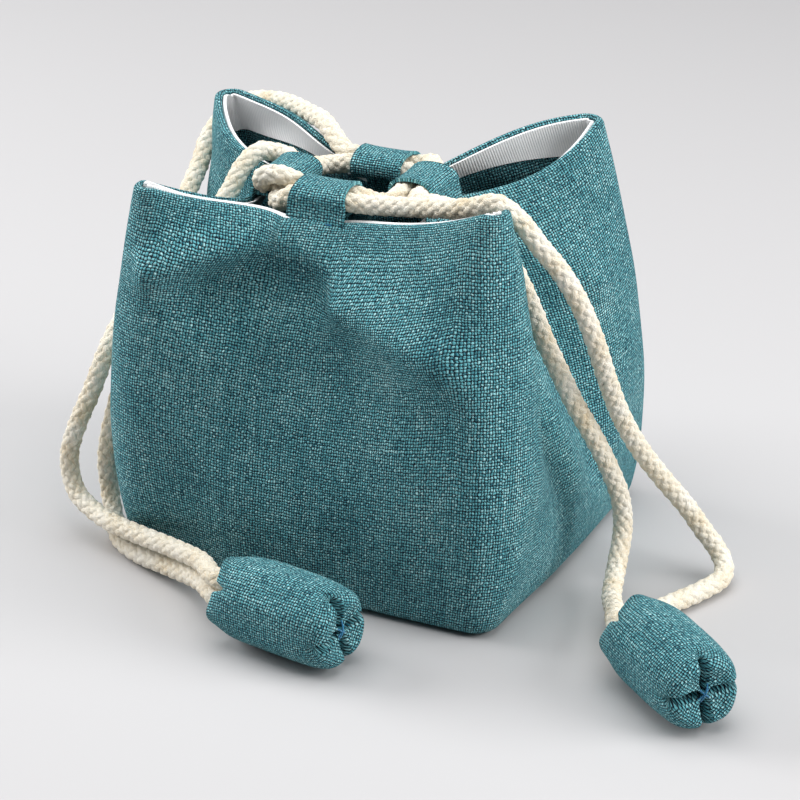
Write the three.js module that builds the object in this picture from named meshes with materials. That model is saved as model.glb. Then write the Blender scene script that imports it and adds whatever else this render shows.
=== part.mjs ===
// Drawstring jewellery pouch: a square soft bag whose mouth is drawn in by cloth loops and two cords.
// Millimetres, +Z up. The origin is on the floor under the middle of the base, and the front wall faces -Y.
import * as THREE from 'three';

// Cloth layers, from the outside in
const outerThickness = 1.2;
const liningThickness = 0.8;
const facingThickness = 0.6;
const baseThickness = 1.2;
const baseLiningThickness = 0.8;
const clearance = 0.3;

// White facing inside the rim
const facingDepth = 11;
const facingRise = 0.4;

// Cords and the cloth loops that they run through
const cordDiameter = 5;
const cordSides = 8;
const laneGap = 0.4;
const loopWidth = 14;
const loopThickness = 0.9;
const loopHeadroom = 0.3;
const spanLead = 1;
const spanPull = 0.55;
const spanSteps = 8;

// Stuffed cord ends, shaped as buds
const budLength = 38.5;
const budRadius = 11;
const budFullness = 0.62;
const budCoverThickness = 1.2;
const budNeckWall = 1.25;
const budFloorGap = 0.2;
const budFillingStart = 5;
const budCordDepth = 4;
const budCrease = 2.4;
const budDimple = 2.6;
const budLobes = 4;
const budSides = 24;
const budRings = 10;

// Soft body of the bag
const bellySwell = 6;
const bellyLow = 0.6;
const ridgeSwell = 7;
const ridgeLow = 0.75;
const baseCornerRadius = 6.5;
const bodyCornerSwell = 10;
const earRadius = 4.5;
const foldHeight = 3;
const pullAtLoop = 0.24;
const pullAtEar = 0.5;

// Each wall: the way it faces, where its middle line stands, how its rim is drawn in,
// and the cord that runs nearest the wall in its loop
const walls = {
  front: { out: [0, -1], along: -6, baseReach: 48, rimReach: 26, rimHeight: 96, draw: 2.7, outerCord: 'right' },
  right: { out: [1, 0], along: -2.5, baseReach: 53.7, rimReach: 20, rimHeight: 96, draw: 1.9, outerCord: 'right' },
  back: { out: [0, 1], along: 4, baseReach: 48.5, rimReach: 18, rimHeight: 94.5, draw: 1.9, outerCord: 'left' },
  left: { out: [-1, 0], along: 7, baseReach: 53.7, rimReach: 30, rimHeight: 94.5, draw: 2.2, outerCord: 'left' },
};

// Each corner: the two walls that meet there, its foot on the floor, its ear tip and how soon the rim rises to it,
// with the share of the turn towards the ear that the rim has made where it leaves a loop and where it arrives
const corners = {
  front_right: {
    walls: ['front', 'right'], foot: [53.5, -50.5], ear: [52.5, -41.5, 111.8],
    rise: [0.3, 0], leave: [0, 0], arrive: [1, 1],
  },
  back_right: {
    walls: ['right', 'back'], foot: [54, 48.5], ear: [43.3, 44, 109],
    rise: [0.1, 0.9], leave: [1.4, 0], arrive: [0.35, 1],
  },
  back_left: {
    walls: ['back', 'left'], foot: [-53.5, 48.5], ear: [-63.5, 36, 103.5],
    rise: [1, 0.4], leave: [0, 1.2], arrive: [1, 0.5],
  },
  front_left: {
    walls: ['left', 'front'], foot: [-54, -42], ear: [-46, -47.5, 106],
    rise: [0.3, 0.4], leave: [0, 0], arrive: [1, 1],
  },
};

// Each bud lies on the floor: its neck and the way its far end points, in degrees from +X
const buds = {
  left: { neck: [-8.8, -72.6], heading: -12 },
  right: { neck: [92.2, -48.8], heading: -41 },
};

// Free stretches of cord, from the loop that they leave to the bud that they enter
const strands = {
  right_cord_back_strand: {
    cord: 'right', loop: 'right', exit: -1, bud: 'right', seat: [-2.7, 0], steps: 18,
    route: [
      [16.35, -12.6, 100.7], [20, -16.6, 101.6], [26.8, -19, 102.3], [33.5, -20.8, 101.5], [40, -22.3, 98.2],
      [45.7, -23, 93.2], [49.8, -23.5, 87], [52.7, -22.5, 80], [55.5, -21.3, 72], [59, -19.8, 63.5],
      [62.5, -17.3, 54], [66, -13, 44], [69, -9, 34], [71.3, -6.5, 25], [72.3, -6.5, 16.5],
      [73.7, -14, 8.6], [77.2, -26, 6.6], [82.6, -37.2, 8.6],
    ],
  },
  right_cord_front_strand: {
    cord: 'right', loop: 'front', exit: 1, bud: 'right', seat: [2.7, 0], steps: 23,
    route: [
      [6.5, -21.9, 100.6], [13.5, -22.3, 101.4], [22, -24, 103], [30, -26.2, 104.8], [38, -28.3, 107],
      [45.5, -29.4, 109.6], [52.2, -31.2, 107.2], [58, -31.2, 101], [63, -29, 94], [67.3, -26.5, 85],
      [70.3, -24.6, 76], [71.3, -18.3, 63.4], [72.6, -11, 50.3], [75.6, -5.2, 39.4], [79.9, 0.9, 29.1],
      [85, 6.5, 19.3], [89.2, 9, 11.8], [92.4, 9.6, 7.6], [95.2, 7.6, 4.7], [96.9, 2.6, 3.2],
      [94.6, -6, 2.8], [90.8, -15.5, 3], [88.4, -26.5, 4.6], [88.6, -37, 8],
    ],
  },
  left_cord_back_strand: {
    cord: 'left', loop: 'back', exit: 1, bud: 'left', seat: [0, 2.7], steps: 26,
    route: [
      [-16.5, 14.2, 99.6], [-22, 18.3, 101.6], [-28, 24.3, 102.8], [-36, 31.2, 101.9], [-44.5, 37.2, 101.3],
      [-53, 42.8, 99.4], [-61.5, 45.5, 97], [-68, 43, 92.5], [-69.5, 36, 88], [-68, 28, 83.5],
      [-66.5, 18, 79], [-65, 6, 73], [-64.5, -6, 66.5], [-65.5, -17, 59.5], [-66.8, -28, 50.5],
      [-69.5, -32.7, 39.5], [-72.6, -35.9, 30], [-74.6, -36.8, 22.5], [-74.4, -37.2, 16.2], [-71.4, -39, 11.4],
      [-65, -42, 9.1], [-57, -46.4, 9], [-46.2, -51, 9.7], [-32.6, -57, 11.2], [-20.9, -63.8, 12.9],
    ],
  },
  left_cord_front_strand: {
    cord: 'left', loop: 'left', exit: -1, bud: 'left', seat: [0, -2.7], steps: 26,
    route: [
      [-26.9, 3.2, 98.9], [-29.6, 6, 98.8], [-33.4, 6.7, 99], [-37.2, 4.6, 99.6], [-40, 0.4, 96.6],
      [-41.4, -5.2, 91], [-45.2, -14.8, 81.6], [-49.2, -18.4, 74], [-54, -21.6, 65], [-58.4, -24.6, 55],
      [-62, -27, 44.5], [-64.4, -28.8, 34.5], [-66.2, -30.2, 25.5], [-67.2, -30.2, 17.5], [-66.8, -30, 11],
      [-65, -32, 6.2], [-61.6, -36.4, 3.4], [-56.2, -43.2, 2.7], [-47.9, -48.8, 2.9], [-35, -55, 4.4],
      [-20.8, -64.1, 7.3],
    ],
  },
};

// Drawn stretches of cord between neighbouring loops: the walls that they join, and how far they sag
const spans = {
  right_cord_right_to_back: { cord: 'right', walls: ['right', 'back'], sag: 6.4 },
  right_cord_back_to_left: { cord: 'right', walls: ['back', 'left'], sag: 1.5 },
  right_cord_left_to_front: { cord: 'right', walls: ['left', 'front'], sag: 3.8 },
  left_cord_front_to_right: { cord: 'left', walls: ['front', 'right'], sag: 1.5 },
  left_cord_right_to_back: { cord: 'left', walls: ['right', 'back'], sag: -1.6 },
  left_cord_left_to_front: { cord: 'left', walls: ['left', 'front'], sag: -4.6 },
};

// Rows of the cloth grids between the base and the facing, and columns across a corner section
const bodyRows = [0.06, 0.16, 0.3, 0.45, 0.6, 0.76];
const liningDrop = 1.4;
const halfColumns = 5;
const earColumns = 5;
const stripColumns = 2;

// Insets of the layers, worked out from their thicknesses
const liningInset = outerThickness + clearance;
const facingInset = liningInset + liningThickness + clearance;
const cordRadius = cordDiameter / 2;
const laneOffset = cordRadius + laneGap / 2;
const loopBoreHalfHeight = cordRadius + loopHeadroom;
const loopBoreHalfReach = laneOffset + cordRadius + clearance;
const loopHalfHeight = loopBoreHalfHeight + loopThickness;
const loopHalfReach = loopBoreHalfReach + loopThickness;

const finish = {
  cloth: new THREE.MeshStandardMaterial({ color: 0x3f7c82, roughness: 0.95 }),
  lining: new THREE.MeshStandardMaterial({ color: 0x2d5a5e, roughness: 0.95 }),
  facing: new THREE.MeshStandardMaterial({ color: 0xe9e9e7, roughness: 0.9 }),
  cord: new THREE.MeshStandardMaterial({ color: 0xe2d8c4, roughness: 0.95 }),
  filling: new THREE.MeshStandardMaterial({ color: 0xefece4, roughness: 1 }),
};

const pouch = new THREE.Group();

function addPiece(name, geometry, material) {
  const piece = new THREE.Mesh(geometry, material);
  piece.name = name;
  pouch.add(piece);
  return piece;
}

function smoothstep(low, high, value) {
  return THREE.MathUtils.smoothstep(value, low, high);
}

// Direction of a wall's run, counter-clockwise seen from above
function runOf(wall) {
  return new THREE.Vector2(-wall.out[1], wall.out[0]);
}

// Middle line of a wall at height share v
function wallMiddle(wall, v) {
  const run = runOf(wall);
  const swell = bellySwell * Math.sin(Math.PI * Math.min(1, v ** bellyLow)) * Math.max(0, 1 - v);
  const reach = wall.baseReach + swell - (wall.baseReach - wall.rimReach) * v ** wall.draw;
  return new THREE.Vector3(
    wall.out[0] * reach + run.x * wall.along,
    wall.out[1] * reach + run.y * wall.along,
    wall.rimHeight * v,
  );
}

// Point on a wall's middle strip, moved along its run and inwards
function stripPoint(wall, across, v, inset) {
  const point = wallMiddle(wall, v);
  const run = runOf(wall);
  point.x += run.x * across - wall.out[0] * inset;
  point.y += run.y * across - wall.out[1] * inset;
  return point;
}

// Outermost point of a corner at height share v: from its foot, past the soft swell, to its ear tip
function ridgePoint(corner, v) {
  const side = new THREE.Vector2(Math.sign(corner.foot[0]), Math.sign(corner.foot[1]));
  const inset = baseCornerRadius * (1 - Math.SQRT1_2);
  const foot = new THREE.Vector3(corner.foot[0] - side.x * inset, corner.foot[1] - side.y * inset, 0);
  const point = foot.lerp(new THREE.Vector3(...corner.ear), v);
  const swell = ridgeSwell * Math.sin(Math.PI * Math.min(1, v ** ridgeLow)) * Math.SQRT1_2;
  point.x += side.x * swell;
  point.y += side.y * swell;
  return point;
}

// Layout of a corner's cross-section: two half walls that start at the middle strips and meet round the ear
function cornerSection(corner, v) {
  const [first, second] = corner.walls.map((name) => walls[name]);
  const edge = loopWidth / 2 + clearance;
  const tip = ridgePoint(corner, v);
  const rimTip = ridgePoint(corner, 1);
  const turn = v ** foldHeight;
  const halves = [[first, 1], [second, -1]].map(([wall, way], index) => {
    const run = runOf(wall).multiplyScalar(way);
    const start = stripPoint(wall, edge * way, v, 0);
    const rimStart = stripPoint(wall, edge * way, 1, 0);
    const rimRun = new THREE.Vector2(rimTip.x - rimStart.x, rimTip.y - rimStart.y);
    const angle = Math.atan2(run.cross(rimRun), run.dot(rimRun));
    const leaving = run.clone().rotateAround(new THREE.Vector2(), angle * turn * corner.leave[index]);
    const arrival = run.clone().rotateAround(new THREE.Vector2(), angle * turn * corner.arrive[index]);
    const outward = new THREE.Vector2(arrival.y, -arrival.x).multiplyScalar(way);
    return { leaving, start, arrival, outward };
  });
  const bisector = halves[0].arrival.clone().add(halves[1].arrival).normalize();
  const taper = THREE.MathUtils.lerp(baseCornerRadius, earRadius, v);
  const radius = taper + bodyCornerSwell * Math.sin(Math.PI * Math.min(1, v));
  const centre = new THREE.Vector2(tip.x, tip.y).addScaledVector(bisector, -radius);
  const startAngle = halves[0].outward.angle();
  const sweep = THREE.MathUtils.euclideanModulo(halves[1].outward.angle() - startAngle, 2 * Math.PI);
  return { halves, centre, radius, startAngle, sweep, height: tip.z };
}

// Point on the half wall between a middle strip and an ear, t from 0 at the strip to 1 at the ear
function halfWallPoint(section, index, rise, t) {
  const { leaving, start, arrival, outward } = section.halves[index];
  const end = new THREE.Vector3(
    section.centre.x + section.radius * outward.x,
    section.centre.y + section.radius * outward.y,
    section.height,
  );
  const length = Math.hypot(end.x - start.x, end.y - start.y);
  const climb = (end.z - start.z) * rise;
  const nearStart = start.clone().add(new THREE.Vector3(leaving.x, leaving.y, 0).multiplyScalar(pullAtLoop * length));
  nearStart.z = start.z + climb / 2;
  const nearEnd = end.clone().sub(new THREE.Vector3(arrival.x, arrival.y, 0).multiplyScalar(pullAtEar * length));
  nearEnd.z = start.z + climb;
  return new THREE.CubicBezierCurve3(start, nearStart, nearEnd, end).getPoint(t);
}

// Point on a corner's outer face: u from 0 to 1 on the first half wall, to 2 round the ear, to 3 on the second
function cornerFacePoint(corner, section, u) {
  if (u <= 1) return halfWallPoint(section, 0, corner.rise[0], u);
  if (u >= 2) return halfWallPoint(section, 1, corner.rise[1], 3 - u);
  const angle = section.startAngle + section.sweep * (u - 1);
  return new THREE.Vector3(
    section.centre.x + section.radius * Math.cos(angle),
    section.centre.y + section.radius * Math.sin(angle),
    section.height,
  );
}

// Point of a corner layer, moved inwards in plan from the outer face
function cornerPoint(corner, u, v, inset) {
  const section = cornerSection(corner, v);
  const step = 0.01;
  const point = cornerFacePoint(corner, section, u);
  const before = cornerFacePoint(corner, section, Math.max(0, u - step));
  const after = cornerFacePoint(corner, section, Math.min(3, u + step));
  const tangent = new THREE.Vector2(after.x - before.x, after.y - before.y).normalize();
  point.x -= tangent.y * inset;
  point.y += tangent.x * inset;
  return point;
}

function cornerColumns() {
  const columns = [];
  for (let i = 0; i < halfColumns; i += 1) columns.push(i / halfColumns);
  for (let i = 0; i < earColumns; i += 1) columns.push(1 + i / earColumns);
  for (let i = 0; i <= halfColumns; i += 1) columns.push(2 + i / halfColumns);
  return columns;
}

// Closed sheet between an outer and an inner grid of points, each a list of rows from the bottom up
function sheetGeometry(outerGrid, innerGrid) {
  const rows = outerGrid.length;
  const columns = outerGrid[0].length;
  const count = rows * columns;
  const positions = [...outerGrid.flat(), ...innerGrid.flat()].flatMap((point) => point.toArray());
  const faces = [];
  const quad = (a, b, c, d) => faces.push(a, b, c, a, c, d);
  const outer = (row, column) => row * columns + column;
  const inner = (row, column) => count + outer(row, column);
  for (let row = 0; row < rows - 1; row += 1) {
    for (let column = 0; column < columns - 1; column += 1) {
      quad(outer(row, column), outer(row, column + 1), outer(row + 1, column + 1), outer(row + 1, column));
      quad(inner(row, column), inner(row + 1, column), inner(row + 1, column + 1), inner(row, column + 1));
    }
  }
  for (let column = 0; column < columns - 1; column += 1) {
    const top = rows - 1;
    quad(inner(0, column), inner(0, column + 1), outer(0, column + 1), outer(0, column));
    quad(outer(top, column), outer(top, column + 1), inner(top, column + 1), inner(top, column));
  }
  for (let row = 0; row < rows - 1; row += 1) {
    const last = columns - 1;
    quad(inner(row, 0), outer(row, 0), outer(row + 1, 0), inner(row + 1, 0));
    quad(outer(row, last), inner(row, last), inner(row + 1, last), outer(row + 1, last));
  }
  const geometry = new THREE.BufferGeometry();
  geometry.setAttribute('position', new THREE.Float32BufferAttribute(positions, 3));
  geometry.setIndex(faces);
  return geometry;
}

// One cloth layer, as four corner sections and four middle strips
function addLayer(layer, rows, inset, thickness, material) {
  const columns = cornerColumns();
  for (const [name, corner] of Object.entries(corners)) {
    const grid = (depth) => rows.map((v) => columns.map((u) => cornerPoint(corner, u, v, depth)));
    addPiece(`${layer}_corner_${name}`, sheetGeometry(grid(inset), grid(inset + thickness)), material);
  }
  const across = Array.from({ length: stripColumns + 1 }, (_, i) => loopWidth * (i / stripColumns - 0.5));
  for (const [name, wall] of Object.entries(walls)) {
    const grid = (depth) => rows.map((v) => across.map((place) => stripPoint(wall, place, v, depth)));
    addPiece(`${layer}_middle_${name}`, sheetGeometry(grid(inset), grid(inset + thickness)), material);
  }
}

// Flat base layer whose outline follows the walls at height share v, moved inwards
function addBase(name, v, inset, bottom, thickness, material) {
  const outline = Object.values(corners).flatMap((corner) => (
    cornerColumns().map((u) => cornerPoint(corner, u, v, inset))
  ));
  const shape = new THREE.Shape(outline.map((point) => new THREE.Vector2(point.x, point.y)));
  const geometry = new THREE.ExtrudeGeometry(shape, { depth: thickness, bevelEnabled: false });
  addPiece(name, geometry, material).position.z = bottom;
}

// Oblong outline with round ends, lying along X
function addOblong(path, halfReach, halfHeight) {
  const flat = halfReach - halfHeight;
  path.moveTo(-flat, -halfHeight);
  path.lineTo(flat, -halfHeight);
  path.absarc(flat, 0, halfHeight, -Math.PI / 2, Math.PI / 2, false);
  path.lineTo(-flat, halfHeight);
  path.absarc(-flat, 0, halfHeight, Math.PI / 2, Math.PI * 1.5, false);
}

// Middle of a wall's loop, which stands on the rim just inside the wall's outer face
function loopCentre(wall) {
  const centre = stripPoint(wall, 0, 1, clearance + loopHalfReach);
  centre.z += facingRise + clearance + loopHalfHeight;
  return centre;
}

function addLoop(name, wall) {
  const shape = new THREE.Shape();
  addOblong(shape, loopHalfReach, loopHalfHeight);
  const bore = new THREE.Path();
  addOblong(bore, loopBoreHalfReach, loopBoreHalfHeight);
  shape.holes.push(bore);
  const geometry = new THREE.ExtrudeGeometry(shape, { depth: loopWidth, bevelEnabled: false, curveSegments: 6 });
  geometry.translate(0, 0, -loopWidth / 2);
  geometry.rotateX(Math.PI / 2);
  const loop = addPiece(`loop_${name}`, geometry, finish.cloth);
  loop.position.copy(loopCentre(wall));
  loop.rotation.z = Math.atan2(wall.out[1], wall.out[0]);
}

// Point on a cord's lane through a loop, by the wall or by the mouth, where place runs along the wall
function lanePoint(wall, cord, place) {
  const lane = wall.outerCord === cord ? 1 : -1;
  const point = loopCentre(wall);
  const run = runOf(wall);
  point.x += wall.out[0] * laneOffset * lane + run.x * place;
  point.y += wall.out[1] * laneOffset * lane + run.y * place;
  return point;
}

function cordGeometry(curve, steps) {
  const section = new THREE.Shape();
  section.absarc(0, 0, cordRadius, 0, 2 * Math.PI, false);
  return new THREE.ExtrudeGeometry(section, {
    extrudePath: curve, steps, bevelEnabled: false, curveSegments: cordSides / 2,
  });
}

// Cord drawn from the middle of one loop to the middle of the next, round the corner between them
function addSpan(name, { cord, walls: [fromName, toName], sag }) {
  const from = walls[fromName];
  const to = walls[toName];
  const straight = loopWidth / 2 + spanLead;
  const start = lanePoint(from, cord, straight);
  const end = lanePoint(to, cord, -straight);
  const pull = spanPull * start.distanceTo(end);
  const leave = lanePoint(from, cord, straight + pull);
  const arrive = lanePoint(to, cord, -straight - pull);
  leave.z -= sag;
  arrive.z -= sag;
  const path = new THREE.CurvePath();
  path.add(new THREE.LineCurve3(lanePoint(from, cord, clearance / 2), start));
  path.add(new THREE.CubicBezierCurve3(start, leave, arrive, end));
  path.add(new THREE.LineCurve3(end, lanePoint(to, cord, -clearance / 2)));
  addPiece(name, cordGeometry(path, spanSteps), finish.cord);
}

// Point in a bud's own frame, with X from its neck to its far end
function budPoint(bud, x, y, z) {
  const heading = THREE.MathUtils.degToRad(bud.heading);
  return new THREE.Vector3(
    bud.neck[0] + x * Math.cos(heading) - y * Math.sin(heading),
    bud.neck[1] + x * Math.sin(heading) + y * Math.cos(heading),
    budRadius + budFloorGap + z,
  );
}

// Free cord from the middle of its loop, along its route, into the neck of its bud
function addStrand(name, { cord, loop, exit, bud, seat, steps, route }) {
  const wall = walls[loop];
  const end = buds[bud];
  const points = [
    lanePoint(wall, cord, exit * clearance / 2),
    lanePoint(wall, cord, exit * loopWidth / 4),
    lanePoint(wall, cord, exit * loopWidth / 2),
    ...route.map((point) => new THREE.Vector3(...point)),
    budPoint(end, -budCordDepth, ...seat),
    budPoint(end, budCordDepth, ...seat),
  ];
  addPiece(name, cordGeometry(new THREE.CatmullRomCurve3(points, false, 'centripetal'), steps), finish.cord);
}

// Angle along a bud's profile, from its neck side, at which the profile has the given radius
function budNeckAngle(radius, fullRadius) {
  return Math.asin((radius / fullRadius) ** (1 / budFullness));
}

// Point on a bud's skin, moved inwards: the swollen profile, with creases and a dimple at its far end
function budSkinPoint(angle, around, inset) {
  const length = budLength - 2 * inset;
  const ease = smoothstep(Math.PI * 0.6, Math.PI * 0.92, angle);
  const crease = (0.5 + 0.5 * Math.cos(budLobes * around)) ** 3 * ease;
  const dimple = smoothstep(Math.PI * 0.82, Math.PI, angle);
  const x = inset + length * (1 - Math.cos(angle)) / 2 - budCrease * crease - budDimple * dimple;
  const radius = (budRadius - inset) * Math.max(0, Math.sin(angle)) ** budFullness;
  return new THREE.Vector3(x, radius * Math.cos(around), radius * Math.sin(around));
}

// Rings of a bud's skin from a start angle to its closed far end
function budRingPoints(startAngle, inset, rings) {
  const points = [];
  for (let ring = 0; ring < rings; ring += 1) {
    const angle = THREE.MathUtils.lerp(startAngle, Math.PI, ring / rings);
    for (let side = 0; side < budSides; side += 1) {
      points.push(budSkinPoint(angle, 2 * Math.PI * side / budSides, inset));
    }
  }
  points.push(budSkinPoint(Math.PI, Math.PI / budLobes, inset));
  return points;
}

// Faces of a skin of rings that closes at a last point, facing outwards unless turned
function budSkinFaces(first, rings, turned) {
  const faces = [];
  const triangle = (a, b, c) => faces.push(...(turned ? [a, c, b] : [a, b, c]));
  const tip = first + rings * budSides;
  for (let side = 0; side < budSides; side += 1) {
    const next = (side + 1) % budSides;
    for (let ring = 0; ring < rings - 1; ring += 1) {
      const a = first + ring * budSides;
      const b = a + budSides;
      triangle(a + side, b + next, b + side);
      triangle(a + side, a + next, b + next);
    }
    const last = first + (rings - 1) * budSides;
    triangle(last + side, last + next, tip);
  }
  return faces;
}

function budGeometry(points, faces) {
  const geometry = new THREE.BufferGeometry();
  const positions = points.flatMap((point) => point.toArray());
  geometry.setAttribute('position', new THREE.Float32BufferAttribute(positions, 3));
  geometry.setIndex(faces);
  return geometry;
}

// Cloth skin of a bud, open at its neck, where the two strands of a cord go in
function budCover() {
  const bore = loopBoreHalfReach + laneGap / 2;
  const outer = budRingPoints(budNeckAngle(bore + budNeckWall, budRadius), 0, budRings);
  const innerStart = budNeckAngle(bore, budRadius - budCoverThickness);
  const inner = budRingPoints(innerStart, budCoverThickness, budRings);
  const first = outer.length;
  const faces = [...budSkinFaces(0, budRings, false), ...budSkinFaces(first, budRings, true)];
  for (let side = 0; side < budSides; side += 1) {
    const next = (side + 1) % budSides;
    faces.push(side, first + side, first + next, side, first + next, next);
  }
  return budGeometry([...outer, ...inner], faces);
}

// Stuffing of a bud, flat where the cord ends meet it
function budFilling() {
  const inset = budCoverThickness + clearance;
  const share = (budFillingStart - inset) / (budLength - 2 * inset);
  const points = budRingPoints(Math.acos(1 - 2 * share), inset, budRings);
  const faces = budSkinFaces(0, budRings, false);
  const middle = points.length;
  points.push(new THREE.Vector3(budFillingStart, 0, 0));
  for (let side = 0; side < budSides; side += 1) faces.push(middle, (side + 1) % budSides, side);
  return budGeometry(points, faces);
}

function addBud(name, bud) {
  const pieces = [
    addPiece(`bud_cover_${name}`, budCover(), finish.cloth),
    addPiece(`bud_filling_${name}`, budFilling(), finish.filling),
  ];
  for (const piece of pieces) {
    piece.position.copy(budPoint(bud, 0, 0, 0));
    piece.rotation.z = THREE.MathUtils.degToRad(bud.heading);
  }
}

const rimHeights = Object.values(walls).map((wall) => wall.rimHeight);
const lowestRim = Math.min(...rimHeights);
const liningStart = (baseThickness + clearance) / lowestRim;
const facingStart = 1 - facingDepth / lowestRim;
const liningTop = 1 - liningDrop / lowestRim;
const facingTop = 1 + facingRise / Math.max(...rimHeights);
const liningRows = [liningStart, ...bodyRows, facingStart, liningTop];

addLayer('outer', [0, ...liningRows, 1], 0, outerThickness, finish.cloth);
addLayer('lining', liningRows, liningInset, liningThickness, finish.lining);
addLayer('facing', [facingStart, liningTop, 1, facingTop], facingInset, facingThickness, finish.facing);
addBase('base_panel', 0, liningInset, 0, baseThickness, finish.cloth);
addBase('base_lining', liningStart, facingInset, baseThickness + clearance, baseLiningThickness, finish.lining);
for (const [name, wall] of Object.entries(walls)) addLoop(name, wall);
for (const [name, span] of Object.entries(spans)) addSpan(name, span);
for (const [name, strand] of Object.entries(strands)) addStrand(name, strand);
for (const [name, bud] of Object.entries(buds)) addBud(name, bud);

export default pouch;
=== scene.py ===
"""Dress a packed drawstring pouch: woven walls, ribbed facing, cord loops, braided cords and stuffed buds.

Sizes are in millimetres, as on the pouch, and become metres where a mesh is made.
"""

from __future__ import annotations

import logging
import math
from dataclasses import dataclass
from enum import Enum
from typing import Any, Iterable, Sequence

import bmesh
import bpy
import numpy as np
from bmesh.types import BMesh
from bpy.types import Material, Node, NodeSocket, Object
from mathutils import Matrix, Vector

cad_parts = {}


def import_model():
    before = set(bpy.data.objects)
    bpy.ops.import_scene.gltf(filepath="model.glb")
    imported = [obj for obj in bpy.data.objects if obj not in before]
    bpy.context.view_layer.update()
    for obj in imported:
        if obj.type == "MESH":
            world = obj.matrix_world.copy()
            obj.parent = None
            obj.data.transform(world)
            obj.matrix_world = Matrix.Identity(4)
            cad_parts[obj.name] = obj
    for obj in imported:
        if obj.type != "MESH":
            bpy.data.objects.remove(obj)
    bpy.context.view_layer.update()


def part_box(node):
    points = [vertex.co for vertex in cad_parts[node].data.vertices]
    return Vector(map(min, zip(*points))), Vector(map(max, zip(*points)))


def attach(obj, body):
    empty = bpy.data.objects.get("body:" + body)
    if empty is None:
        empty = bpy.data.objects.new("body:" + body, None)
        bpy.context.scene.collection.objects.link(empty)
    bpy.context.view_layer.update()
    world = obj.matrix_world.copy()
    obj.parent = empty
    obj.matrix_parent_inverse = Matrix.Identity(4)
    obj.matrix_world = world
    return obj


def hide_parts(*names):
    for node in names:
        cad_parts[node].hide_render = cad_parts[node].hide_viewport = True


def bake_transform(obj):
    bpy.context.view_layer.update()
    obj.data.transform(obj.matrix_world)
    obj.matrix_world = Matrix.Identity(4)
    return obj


LOG = logging.getLogger("pouch")
MM = 0.001
THREAD_PITCH = 0.75
SHARP_EDGE = math.radians(50)
ROOT_BODY = "body"
UV_NAME = "weave"
Array = np.ndarray
Colour = tuple[float, float, float, float]
Place = tuple[float, float, float]
Pair = tuple[float, float]


class Slot(Enum):
    """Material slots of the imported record."""

    CLOTH = "cloth"
    LINING = "lining"
    FACING = "facing"
    CORD = "cord"


def paint(red: float, green: float, blue: float) -> Colour:
    """Turn a screen colour, 0 to 255, into the linear colour that a shader takes.

    Args:
        red: Red part of the screen colour.
        green: Green part of the screen colour.
        blue: Blue part of the screen colour.

    Returns:
        The linear colour with full opacity.
    """
    shares = np.array([red, green, blue]) / 255.0
    linear = np.where(shares <= 0.04045, shares / 12.92, ((shares + 0.055) / 1.055) ** 2.4)
    return (*linear.tolist(), 1.0)


def smoothstep(low: float, high: float, value: Any) -> Any:
    """Ease from 0 at low to 1 at high, for a number or an array."""
    share = np.clip((value - low) / (high - low), 0.0, 1.0)
    return share * share * (3.0 - 2.0 * share)


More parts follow.
